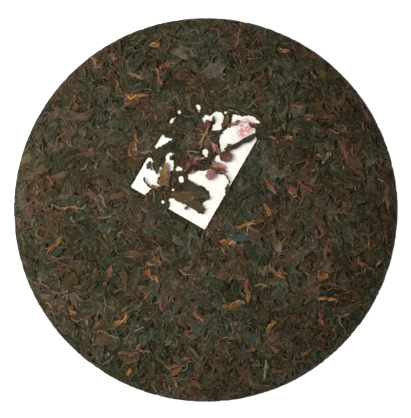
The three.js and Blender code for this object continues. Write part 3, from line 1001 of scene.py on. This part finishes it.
def paper_material():
    """Soft tissue paper: warm white, matt and fibrous, with a soft rosy field."""
    material, tree = new_material("tissue_paper")
    place = add_node(tree, "ShaderNodeTexCoord")
    fibres = add_node(
        tree, "ShaderNodeTexNoise", {"Scale": 1 / (FIBRE_MM * MM), "Detail": 6.0, "Roughness": 0.7},
        {"Vector": place.outputs["Object"]},
    )
    tone = add_node(tree, "ShaderNodeValToRGB", links={"Fac": fibres})
    tone.color_ramp.elements[0].color = linear("#f3f0e4")
    tone.color_ramp.elements[0].position = 0.25
    tone.color_ramp.elements[1].color = linear("#fbf9f1")
    tone.color_ramp.elements[1].position = 0.6
    centre = [ROSY_MIDDLE[0] * MM, ROSY_MIDDLE[1] * MM, CROWN_HEIGHT * MM]
    moved = add_node(
        tree, "ShaderNodeMapping",
        {
            "vector_type": "TEXTURE",
            "Location": centre,
            "Rotation": (0, 0, ROSY_HEADING),
            "Scale": (ROSY_LENGTH / 2 * MM, ROSY_WIDTH / 2 * MM, 0.1),
        },
        {"Vector": place.outputs["Object"]},
    )
    reach = add_node(tree, "ShaderNodeVectorMath", {"operation": "LENGTH"}, {0: moved})
    field = add_node(
        tree, "ShaderNodeMapRange", {"From Min": 0.6, "From Max": 1.15, "To Min": 1.0, "To Max": 0.0},
        {"Value": reach.outputs["Value"]},
    )
    marks = add_node(
        tree, "ShaderNodeTexNoise", {"Scale": 1 / (ROSY_MM * MM), "Detail": 1.0, "Distortion": 1.2},
        {"Vector": place.outputs["Object"]},
    )
    broken = add_node(
        tree, "ShaderNodeMapRange", {"From Min": 0.36, "From Max": 0.5, "To Min": 0.1, "To Max": 0.9},
        {"Value": marks},
    )
    strength = add_node(tree, "ShaderNodeMath", {"operation": "MULTIPLY"}, {0: field, 1: broken})
    rosy = add_node(
        tree, "ShaderNodeMix", {"data_type": "RGBA", MIX_HIGH: linear("#d38482")},
        {"Factor": strength, MIX_LOW: tone},
    )
    bump = add_node(
        tree, "ShaderNodeBump", {"Strength": 0.35, "Distance": FIBRE_DEPTH_MM * MM}, {"Height": fibres}
    )
    shader = add_node(
        tree, "ShaderNodeBsdfPrincipled", {"Roughness": 0.88, "Specular IOR Level": 0.3},
        {"Base Color": rosy.outputs[MIX_RESULT], "Normal": bump},
    )
    add_node(tree, "ShaderNodeOutputMaterial", links={"Surface": shader})
    return material


# Wide cured blades: dark and half matt, mottled, with pale ribs far apart
cured_leaf = leaf_material(
    "cured_tea_leaf", roughness=0.62, vein_mm=2.6, mottle_mm=2.2, mottle_along=2.2,
    dark=EVEN_DARK, light=EVEN_LIGHT, rib_light=0.7, bump_mm=0.3,
)

# Tightly rolled leaf: the same leaf with its ribs drawn close together
rolled_leaf = leaf_material(
    "rolled_tea_leaf", roughness=0.6, vein_mm=1.6, mottle_mm=1.6, mottle_along=2.4,
    dark=EVEN_DARK, light=EVEN_LIGHT, rib_light=0.7, bump_mm=0.3,
)

# Golden and rust pieces with their down: matt, flecked with cream along their length
downy_bud = leaf_material(
    "downy_leaf_bud", roughness=0.7, vein_mm=0.9, mottle_mm=1.1, mottle_along=3.6,
    dark=FLECKED_DARK, light=FLECKED_LIGHT, rib_light=0.3, bump_mm=0.2,
)

# Dry stalks: evenly coloured with fine fibres
dry_stalk = leaf_material(
    "dry_leaf_stalk", roughness=0.65, vein_mm=0.9, mottle_mm=0.7, mottle_along=2.6,
    dark=EVEN_DARK, light=EVEN_LIGHT, rib_light=0.4, bump_mm=0.15,
)
leaf_dust = core_material()
tissue_paper = paper_material()


# The core under the leaves

# How finely the core is cut, how deep it is sunk under the skin, and how lumpy it is
CORE_SEGMENTS = 240
CORE_RINGS = 150
CORE_SINK = -0.75
CORE_LUMPS = 0.3


def cake_core():
    """A closed dome with the skin's profile, sunk under the leaves and lumpy like packed leaf."""
    bpy.ops.object.select_all(action="DESELECT")
    bpy.ops.mesh.primitive_uv_sphere_add(segments=CORE_SEGMENTS, ring_count=CORE_RINGS, radius=1)
    core = bpy.context.object
    core.name = "cake_core"
    places = vertex_places(core)
    share = np.arccos(np.clip(places[:, 2], -1, 1)) / math.pi
    angle = np.arctan2(places[:, 1], places[:, 0])
    path = share * SKIN_PATH[-1]
    radius = np.interp(path, SKIN_PATH, SKIN[:, 0])
    height = np.interp(path, SKIN_PATH, SKIN[:, 1])
    points = np.stack([radius * np.cos(angle), radius * np.sin(angle), height], axis=1)
    feet, normals = nearest_skin(points)
    # Lumps about 7 mm apart
    x, y, z = feet.T
    lumps = np.sin(0.9 * x + 1.3 * np.sin(0.5 * y)) * np.sin(0.8 * y + np.sin(0.7 * x) + 0.9 * z)
    sunk = (CORE_SINK + CORE_LUMPS * lumps) * flattened(normals[:, 2]) ** 2
    depth = sunk + recess(normals[:, 2])
    move_vertices(core, feet + normals * depth[:, None])
    smooth(core, degrees=60)
    return core


belongs_to_cake(cake_core(), leaf_dust)


# Leaves all over the skin

# How much darker or lighter a leaf's tip is than its foot, and how far each kind's spiral is turned
TIP_SHADES = (0.7, 1.35)
KIND_TURN = 0.7


def buried_places(count):
    """Points spread evenly over the buried part of the slip and just round it."""
    order = np.arange(count)
    reach = BURIED_REACH * np.sqrt((order + 0.5) / count)
    angle = order * GOLDEN_ANGLE
    x, y = from_slip(reach * np.cos(angle), reach * np.sin(angle))
    return face_places(x, y)


def burying_batch(draw, wanted, length, width, bend, kink):
    """Leaves that lie wholly on the buried part, drawn from many tries."""
    at = buried_places(wanted * BURIED_TRIES)
    tries = beside_slip(new_batch(draw, at, length, width, BURIED_LIFT, bend, kink))
    clear = np.flatnonzero(~tries["under_slip"])
    chosen = clear[:: max(1, len(clear) // wanted)][:wanted]
    return kept(tries, chosen)


def scatter(name, seed, masters, count, buried_count, palette, material, length, width, lift, bend, kink):
    """Leaves of one kind all over the skin, and more of them, smaller, where they bury the slip."""
    draw = np.random.default_rng(seed)
    at = skin_places(count, KIND_TURN * seed)
    batch = beside_slip(new_batch(draw, at, length, width, lift, bend, kink))
    colours = drawn_colours(draw, palette, count) * patch_tint(at)
    tips = colours * draw.uniform(*TIP_SHADES, (count, 1)) ** FOLLOWS
    meshes = laid_copies(batch, masters, colours, tips)
    if buried_count:
        smaller = [BURIED_SHRINK * size for size in length]
        narrower = [BURIED_SHRINK * size for size in width]
        burying = burying_batch(draw, buried_count, smaller, narrower, bend, kink)
        colours = drawn_colours(draw, palette, len(burying["at"])) * patch_tint(burying["at"])
        meshes += laid_copies(burying, masters, colours, colours)
    belongs_to_cake(joined_piece(name, meshes), material)


scatter(
    "whole_leaves_dark", 1, WHOLE_LEAVES, 1080, 120, CURED_DARK, cured_leaf,
    length=(11, 22), width=(5.0, 9.0), lift=(-0.25, 0.68), bend=0.9, kink=1.0,
)
scatter(
    "whole_leaves_olive", 2, WHOLE_LEAVES, 1040, 150, CURED_OLIVE, cured_leaf,
    length=(7, 15), width=(2.8, 5.8), lift=(-0.05, 0.74), bend=1.2, kink=1.4,
)
scatter(
    "broken_leaves", 9, BROKEN_LEAVES, 3000, 420, CURED_DARK + CURED_OLIVE + CURED_BROWN, cured_leaf,
    length=(2.5, 7.0), width=(1.4, 3.8), lift=(-0.15, 0.72), bend=1.5, kink=1.5,
)
scatter(
    "rolled_strands_dark", 3, STRANDS, 850, 130, CURED_DARK, rolled_leaf,
    length=(7, 18), width=(1.1, 2.6), lift=(-0.1, 0.68), bend=1.6, kink=1.9,
)
scatter(
    "rolled_strands_brown", 4, STRANDS, 520, 60, CURED_BROWN, rolled_leaf,
    length=(5, 14), width=(1.0, 2.2), lift=(0.0, 0.75), bend=1.9, kink=2.1,
)
scatter(
    "fine_strands", 5, FINE_STRANDS, 1700, 110, FINE_BROWN, rolled_leaf,
    length=(3.5, 11), width=(0.45, 0.9), lift=(0.1, 0.85), bend=2.4, kink=2.4,
)
scatter(
    "leaf_buds", 6, STRANDS, 140, 0, GOLDEN, downy_bud,
    length=(3.0, 7), width=(0.9, 1.8), lift=(0.3, 0.7), bend=1.6, kink=1.8,
)
scatter(
    "leaf_stalks", 7, STALKS, 130, 0, STALK_TAN, dry_stalk,
    length=(5, 12), width=(0.7, 1.1), lift=(0.3, 0.9), bend=1.2, kink=1.4,
)
scatter(
    "leaf_crumbs", 8, CRUMBS, 3600, 500, CURED_DARK + CURED_BROWN, cured_leaf,
    length=(1.2, 3.2), width=(0.8, 2.0), lift=(-0.1, 0.7), bend=0.4, kink=0.0,
)


# Leaves that the photograph shows one by one, as (x, y, heading, length, width, bend)

GOLDEN_BUDS = [
    (-36.0, 59.0, 0, 12.5, 2.5, 0.3), (-26.1, 85.3, -10, 4.5, 2.8, 0.0), (-68.5, 1.4, 2, 6.0, 1.6, 0.1),
    (31.8, 0.5, -60, 7.5, 1.9, 0.2), (19.6, -7.8, 14, 10.5, 2.0, 0.6), (36.5, -32.4, -45, 8.5, 2.4, 0.2),
    (14.6, -49.0, 30, 9.5, 2.8, 0.5), (60.6, -34.5, 5, 6.0, 2.6, 1.2), (63.4, -45.9, -5, 9.0, 1.6, 0.0),
    (33.4, -60.3, 50, 8.5, 2.0, -1.5), (52.2, -73.6, 30, 6.5, 1.8, 0.4), (-28.0, -34.0, -42, 8.5, 2.2, 0.4),
    (-69.2, -52.2, -55, 6.0, 2.4, 0.4), (-44.0, -57.0, 38, 12.0, 2.0, 1.5), (-31.3, -73.0, -6, 6.5, 1.3, 0.1),
    (-3.7, -54.8, -52, 7.5, 3.0, 0.4), (-15.7, -89.3, -75, 5.0, 1.6, 0.6), (-39.7, -84.0, 55, 5.0, 1.8, 2.2),
]
RUST_LEAVES = [
    (-44.9, 63.7, -75, 8.0, 2.2, 0.9), (-24.0, 68.5, -75, 9.5, 2.2, 0.5), (-19.8, 75.2, 15, 8.5, 2.4, -0.5),
    (-36.0, 35.0, -88, 10.0, 1.5, 0.4), (40.2, 82.5, -6, 7.0, 2.6, 0.3),
    (53.2, 48.0, 15, 6.5, 2.4, 1.2), (42.8, 37.3, -10, 3.6, 2.6, 0.0), (71.8, 31.3, -82, 10.0, 3.0, 0.2),
    (33.4, 12.0, -60, 9.0, 2.2, 0.8), (44.6, 10.4, -48, 7.0, 3.8, 0.3), (11.0, -16.7, 20, 6.0, 4.0, 0.6),
    (21.4, -41.2, -86, 13.0, 2.6, 0.2), (79.9, -26.9, -45, 6.0, 1.6, 3.0), (59.5, -56.4, -80, 7.0, 2.0, 1.2),
    (35.5, -72.0, -45, 4.8, 2.4, 0.4), (-86.0, -14.0, -35, 5.0, 1.8, 1.0), (-77.0, -17.0, 50, 11.0, 2.6, 0.2),
    (-49.3, -31.8, 78, 6.5, 2.0, 0.3), (-8.1, -64.7, -25, 6.5, 2.2, 0.3), (-17.2, -80.4, 5, 10.0, 1.6, 1.2),
    (-9.9, -76.7, 5, 5.0, 1.5, 0.8), (-4.2, -90.3, -22, 8.0, 2.6, 0.5), (-15.7, -84.0, 35, 7.5, 2.2, 0.4),
]
RED_LEAVES = [
    (55.9, 79.3, 8, 7.0, 1.7, 0.1), (82.0, 51.7, -65, 13.0, 1.5, 0.3), (47.5, 53.8, -8, 7.0, 2.0, 0.4),
    (72.8, -63.7, 55, 5.5, 1.6, 0.2), (93.7, -16.2, -78, 17.0, 1.3, 0.3), (-77.3, -25.0, 0, 9.0, 1.2, 0.3),
    (-23.8, -26.0, -70, 5.2, 1.4, 0.3), (-23.2, -49.6, -80, 5.5, 1.8, 0.3), (-6.3, -97.0, 0, 4.5, 1.8, 0.0),
    (-55.6, 74.5, 20, 5.0, 1.4, 1.8), (-48.0, 79.0, -80, 5.0, 3.0, 0.2), (36.5, 40.9, 15, 3.5, 2.0, 0.2),
]
TAN_STEMS = [
    (-36.0, 69.2, -25, 8.5, 1.6, 0.4), (-53.2, 4.7, -62, 8.5, 1.2, 0.3), (55.6, 70.0, -50, 5.5, 1.3, 0.2),
    (66.3, 40.5, -25, 6.0, 1.4, 0.8), (62.1, 27.1, 55, 6.5, 2.2, 1.2), (93.7, 5.7, -82, 11.0, 2.0, 0.2),
    (29.2, -38.9, -5, 9.0, 1.4, -1.2), (84.3, -29.4, -33, 6.5, 0.8, 0.4), (30.8, -83.0, 84, 11.5, 1.7, 0.3),
    (-48.0, -65.3, -20, 6.0, 1.0, 0.4), (-73.4, 1.0, 2, 5.0, 1.5, 0.2), (18.4, -47.6, 10, 3.2, 1.6, 0.2),
]
BROWN_LEAVES = [
    (-88.7, 8.4, 30, 7.0, 5.0, 0.0), (-58.5, 30.3, 10, 12.0, 4.5, 1.0), (-39.7, -76.2, 5, 11.0, 5.5, 0.2),
    (-34.5, -22.4, 8, 13.0, 2.6, 0.3), (16.2, -95.0, -2, 13.0, 1.5, 0.0),
]

# Those on the slip and at its edge, as (along, across, turn, length, width, bend) on the slip

PINK_FLAKE = [(-6.1, 10.5, 5, 5.6, 5.4, 0.0)]
BROWN_FLAKE = [(5.9, 12.6, 80, 6.6, 6.6, 0.0)]
SLIP_REDDISH = [
    (-8.2, -2.2, 25, 5.5, 3.4, 0.4), (-5.2, -0.9, 62, 5.5, 3.0, 0.2), (-2.0, 12.2, 75, 9.0, 3.0, 0.3),
    (14.2, -4.1, -10, 7.5, 3.4, 0.2), (-26.8, -12.2, -30, 3.0, 1.5, 0.3),
    (24.2, 8.7, 22, 3.2, 1.8, 0.2), (26.9, 17.1, 68, 4.8, 2.8, 0.2),
]
SLIP_PINKISH = [
    (-3.0, -0.4, 40, 4.5, 1.7, 0.2), (-1.6, 1.4, 65, 4.5, 1.5, 0.2), (0.3, 11.8, 84, 8.5, 2.2, -0.2),
    (7.2, 5.8, -62, 8.0, 2.6, 0.2), (22.2, 7.2, 42, 6.0, 1.8, 0.3),
    (-25.6, -10.8, 58, 4.5, 1.7, 0.2), (-9.4, 1.6, 20, 4.0, 1.2, 0.2),
]
SLIP_TAN = [
    (-17.6, -10.4, -20, 11.0, 4.6, 0.2), (-21.2, -8.8, 78, 6.5, 4.2, 0.2), (-13.9, -11.4, -35, 4.6, 2.6, 0.1),
]
SLIP_LIGHT_STEMS = [
    (9.3, -2.3, -3, 10.0, 1.9, 0.1), (-30.2, -9.0, -38, 6.5, 0.8, 0.1), (-0.3, -3.3, 66, 7.0, 0.8, 0.1),
]
SLIP_DARK = [
    (-16.4, 4.6, 80, 8.6, 5.4, 0.1), (-16.9, 9.4, 85, 11.5, 6.4, 0.1), (-17.4, 15.2, 35, 3.6, 1.6, 0.1),
    (-27.0, 8.2, 20, 2.6, 1.8, 0.0), (-17.6, -19.5, -6, 4.6, 2.8, 0.3), (-18.8, -17.2, 60, 1.5, 1.2, 0.0),
    (-14.4, -16.8, -28, 12.5, 4.0, -0.2), (-9.6, -17.4, 42, 9.0, 4.4, 0.2), (-8.4, -11.4, 25, 2.8, 2.2, 0.0),
    (-8.0, 21.5, -16, 5.5, 2.4, 0.4), (19.4, -2.6, -30, 3.6, 1.6, 0.2), (-24.2, 16.0, -32, 4.0, 2.4, 0.1),
]
SLIP_BROWN = [
    (-23.6, 4.0, 78, 13.0, 5.4, 0.2), (-23.6, 11.8, 86, 11.0, 5.0, 0.1), (-20.3, 6.5, 68, 13.0, 4.6, 0.2),
    (21.6, 3.4, -8, 8.0, 3.4, 0.2), (7.6, 1.0, -12, 7.2, 4.2, 0.1), (27.8, -14.3, -30, 8.0, 3.2, 0.1),
    (22.0, -19.0, -30, 4.8, 2.6, 0.1), (-17.5, -8.2, -25, 6.0, 3.2, 0.2),
]
SLIP_STEMS = [
    (17.2, 16.6, 31, 15.5, 3.4, 0.1), (10.4, 11.8, 15, 5.0, 4.2, 0.0), (-26.2, -15.6, 112, 7.5, 1.3, 0.9),
    (-3.4, 19.2, -55, 5.5, 1.1, 0.8),
]


# Slivers as shares of their leaf's length and width, and what is added to make none too thin
SLIVER_LENGTH = (0.25, 0.65)
SLIVER_WIDTH = (0.15, 0.3)
SLIVER_LIFT = (0.9, 1.7)
SLIVER_LEAST = 0.15
SLIVER_STRAY = 0.3
SLIVER_SHADES = [0.35, 0.6, 1.0, 1.5, 1.9]

# Leaves laid one by one lie flatter than the others, and differ little in shade
HAND_LIFT = (0.85, 1.05)
HAND_TILT = 0.2
HAND_SHADES = (0.85, 1.2)


def slivers_of(draw, batch, count):
    """Short thin slivers that lie in a loose sheaf along each leaf of a batch."""
    along, across, turn = spines(batch)
    leaf = np.repeat(np.arange(len(along)), count)
    station = draw.integers(2, STATIONS - 2, len(leaf))
    chosen = kept(batch, leaf)
    side = draw.uniform(-0.5, 0.5, len(leaf)) * chosen["width"]
    bearing = chosen["heading"] + turn[leaf, station]
    straight = chosen["heading"]
    dx = along[leaf, station] * np.cos(straight) - across[leaf, station] * np.sin(straight)
    dy = along[leaf, station] * np.sin(straight) + across[leaf, station] * np.cos(straight)
    x = chosen["at"][:, 0] + dx - side * np.sin(bearing)
    y = chosen["at"][:, 1] + dy + side * np.cos(bearing)
    at = face_places(x, y)
    slivers = new_batch(draw, at, SLIVER_LENGTH, SLIVER_WIDTH, SLIVER_LIFT, bend=1.2, kink=1.0)
    slivers.update(
        heading=bearing + draw.normal(0, SLIVER_STRAY, len(leaf)),
        length=slivers["length"] * chosen["length"],
        width=slivers["width"] * chosen["width"] + SLIVER_LEAST,
        above=chosen["above"], under_slip=chosen["under_slip"],
    )
    return slivers, leaf


def hand_laid(name, seed, masters, rows, base, tip, material, above, slivers=0, on_slip=False):
    """Leaves laid one by one, coloured from one end to the other, a little above their fellows."""
    draw = np.random.default_rng(seed)
    x, y, heading, length, width, bend = np.array(rows).T
    heading = np.radians(heading)
    if on_slip:
        x, y = from_slip(x, y)
        heading = SLIP_HEADING - heading
    at = face_places(x, y)
    batch = new_batch(draw, at, (1, 1), (1, 1), HAND_LIFT, bend=0, kink=0)
    batch.update(
        heading=heading, length=length, width=width, bend=bend, tilt=HAND_TILT * batch["tilt"],
        dip=HAND_TILT * batch["dip"], above=np.full(len(rows), above),
        under_slip=np.zeros(len(rows), dtype=bool),
    )
    lighter = REFLECTED * draw.uniform(*HAND_SHADES, (len(rows), 1))
    colours = lighter * np.array(linear(base)[:3])
    tips = lighter * np.array(linear(tip)[:3])
    meshes = laid_copies(batch, masters, colours, tips)
    if slivers:
        sheaf, leaf = slivers_of(draw, batch, slivers)
        ends = draw.uniform(0, 1, (len(leaf), 1))
        shade = colours[leaf] * (1 - ends) + tips[leaf] * ends
        shade = shade * draw.choice(SLIVER_SHADES, (len(leaf), 1))
        meshes += laid_copies(sheaf, FINE_STRANDS, shade, shade)
    belongs_to_cake(joined_piece(name, meshes), material)


hand_laid("golden_buds", 21, STRANDS, GOLDEN_BUDS, "#784d2a", "#997850", downy_bud, 0.2, 8)
hand_laid("rust_leaves", 22, STRANDS, RUST_LEAVES, "#6a4128", "#88654a", downy_bud, 0.2, 8)
hand_laid("red_leaves", 23, STRANDS, RED_LEAVES, "#693f38", "#815a50", downy_bud, 0.2, 6)
hand_laid("tan_stems", 24, STALKS, TAN_STEMS, "#6a5642", "#8f7c62", dry_stalk, 0.2, 3)
hand_laid("brown_leaves", 25, WHOLE_LEAVES, BROWN_LEAVES, "#543c2c", "#634a38", downy_bud, -0.05, 8)
hand_laid("pink_flake", 26, FLAKES, PINK_FLAKE, "#927d78", "#b8727c", cured_leaf, 1.2, 0, True)
hand_laid("brown_flake", 27, FLAKES, BROWN_FLAKE, "#633f33", "#7f544d", cured_leaf, 1.15, 0, True)
hand_laid("slip_reddish", 28, WHOLE_LEAVES, SLIP_REDDISH, "#5d3c31", "#754c40", downy_bud, 0.9, 5, True)
hand_laid("slip_pinkish", 29, WHOLE_LEAVES, SLIP_PINKISH, "#805d50", "#aa857a", downy_bud, 0.95, 3, True)
hand_laid("slip_tan_leaves", 30, WHOLE_LEAVES, SLIP_TAN, "#7a5c38", "#987c55", downy_bud, 0.95, 3, True)
hand_laid("slip_light_stems", 31, STALKS, SLIP_LIGHT_STEMS, "#75624a", "#8a7b63", dry_stalk, 1.0, 1, True)
hand_laid("slip_dark_leaves", 32, WHOLE_LEAVES, SLIP_DARK, "#3c3927", "#484431", cured_leaf, 0.9, 0, True)
hand_laid("slip_brown_leaves", 33, WHOLE_LEAVES, SLIP_BROWN, "#54432f", "#65513d", cured_leaf, 1.0, 0, True)
hand_laid("slip_stems", 34, STALKS, SLIP_STEMS, "#3d342a", "#454234", rolled_leaf, 1.1, 0, True)


def leaf_mat():
    """Pressed leaf on the slip's buried part: a thin ragged mat with gaps where the paper shows."""
    bpy.ops.object.select_all(action="DESELECT")
    bpy.ops.mesh.primitive_grid_add(x_subdivisions=MAT_COLUMNS, y_subdivisions=MAT_ROWS, size=1)
    mat = start_master("leaf_mat")
    bpy.ops.transform.resize(value=(SLIP_LENGTH + 2 * MAT_MARGIN, SLIP_WIDTH + 2 * MAT_MARGIN, 1))
    bpy.ops.mesh.select_mode(type="FACE")
    bpy.ops.mesh.select_all(action="DESELECT")
    bpy.ops.object.mode_set(mode="OBJECT")
    middles = np.array([face.center[:] for face in mat.data.polygons])
    mat.data.polygons.foreach_set("select", paper_shows(middles[:, 0], -middles[:, 1]))
    bpy.ops.object.mode_set(mode="EDIT")
    bpy.ops.mesh.delete(type="FACE")
    bpy.ops.mesh.select_mode(type="VERT")
    bpy.ops.mesh.select_non_manifold()
    bpy.ops.mesh.vertices_smooth(factor=0.5, repeat=2)
    bpy.ops.object.mode_set(mode="OBJECT")
    wrinkle(mat, MAT_FOLD_SIZE, MAT_FOLDS)
    thicken(mat, MAT_THICKNESS)
    places = vertex_places(mat)
    x, y = from_slip(places[:, 0], -places[:, 1])
    z = face_height(np.hypot(x, y)) + MAT_LIFT + places[:, 2]
    move_vertices(mat, np.stack([x, y, z], axis=1))
    smooth(mat, degrees=50)
    return mat


belongs_to_cake(leaf_mat(), leaf_dust)


# The paper slip

# How finely the sheet is cut, how far its edges wander, how high its creases are, and how much of
# the leaves under it shows through
SLIP_COLUMNS = 96
SLIP_ROWS = 66
TORN_EDGE = 0.08
CREASE_HEIGHT = 0.25
SHOWN_THROUGH = 0.1


def paper_slip():
    """A crinkled sheet of tissue paper that follows the dome, pressed over the leaves under it."""
    bpy.ops.object.select_all(action="DESELECT")
    bpy.ops.mesh.primitive_grid_add(x_subdivisions=SLIP_COLUMNS, y_subdivisions=SLIP_ROWS, size=1)
    slip = bpy.context.object
    slip.name = "crinkled_slip"
    places = vertex_places(slip)
    along = places[:, 0] * SLIP_LENGTH
    across = places[:, 1] * SLIP_WIDTH
    ragged = TORN_EDGE * np.sin(1.3 * along) * np.sin(0.31 * along + 1) * np.sign(across)
    across = across + ragged * (np.abs(places[:, 1]) > 0.49)
    x, y = from_slip(along, -across)
    # Sharp valleys where either of two bent waves is nil, and soft bumps over the leaves below
    creases = np.abs(np.sin(0.33 * along + 0.7 * np.sin(0.21 * across)) * np.sin(0.27 * across + 0.9))
    pressed_over = np.sin(0.9 * x + np.sin(0.6 * y)) * np.sin(0.8 * y + 1.2 * np.sin(0.5 * x))
    height = SLIP_LIFT + CREASE_HEIGHT * creases**0.5 + SHOWN_THROUGH * pressed_over
    z = face_height(np.hypot(x, y)) + height
    move_vertices(slip, np.stack([x, y, z], axis=1))
    thicken(slip, SLIP_THICKNESS * MM)
    bpy.ops.object.mode_set(mode="EDIT")
    bpy.ops.mesh.select_all(action="SELECT")
    bpy.ops.mesh.normals_make_consistent(inside=False)
    bpy.ops.object.mode_set(mode="OBJECT")
    smooth(slip, degrees=40)
    return slip


slip = paper_slip()
slip.data.materials.append(tissue_paper)
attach(slip, "root")
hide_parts("paper_slip")


# The floor, the light and the camera

# Sizes and places here are in metres, and the lamp's power in watts
FLOOR_SIZE = 6
FLOOR_GREY = "#8c8c8c"
LAMP_PLACE = (-0.68, 0.06, 0.6)
LAMP_SIZE = 0.7
LAMP_POWER = 9.2
ROOM_LIGHT = 0.43


def studio():
    """A softly lit white table, one wide lamp on the left and pale light from all round."""
    bpy.ops.mesh.primitive_plane_add(size=FLOOR_SIZE, location=(0, 0, 0))
    floor = bpy.context.object
    floor.name = "floor"
    material, tree = new_material("white_floor")
    shader = add_node(
        tree, "ShaderNodeBsdfPrincipled",
        {
            "Base Color": linear(FLOOR_GREY), "Roughness": 0.9, "Specular IOR Level": 0.1,
            "Emission Color": (1, 1, 1, 1), "Emission Strength": 1.0,
        },
    )
    add_node(tree, "ShaderNodeOutputMaterial", links={"Surface": shader})
    floor.data.materials.append(material)
    bpy.ops.object.light_add(type="AREA", location=LAMP_PLACE)
    lamp = bpy.context.object
    lamp.data.shape = "DISK"
    lamp.data.size = LAMP_SIZE
    lamp.data.energy = LAMP_POWER
    lamp.rotation_euler = (-lamp.location).to_track_quat("-Z", "Y").to_euler()
    world = bpy.data.worlds.new("pale_room")
    world.use_nodes = True
    background = world.node_tree.nodes["Background"]
    background.inputs["Color"].default_value = (1, 1, 1, 1)
    background.inputs["Strength"].default_value = ROOM_LIGHT
    bpy.context.scene.world = world
    bpy.context.scene.view_settings.view_transform = "Standard"


# The photo's frame is 418 px high and shows 218.2 mm at the rim, with the cake's middle a little
# right of and below its centre
FRAME_HEIGHT = 218.2
CAMERA_LENS = 200
CAMERA_SENSOR = 36
CAMERA_OFFSET = (-0.18, 0.5)


def camera():
    """Looks straight down from far away, framed like the photo."""
    distance = FRAME_HEIGHT * CAMERA_LENS / CAMERA_SENSOR
    place = (CAMERA_OFFSET[0] * MM, CAMERA_OFFSET[1] * MM, (RIM_HEIGHT + distance) * MM)
    bpy.ops.object.camera_add(location=place, rotation=(0, 0, 0))
    view = bpy.context.object
    view.data.lens = CAMERA_LENS
    view.data.sensor_width = CAMERA_SENSOR
    bpy.context.scene.camera = view


studio()
camera()
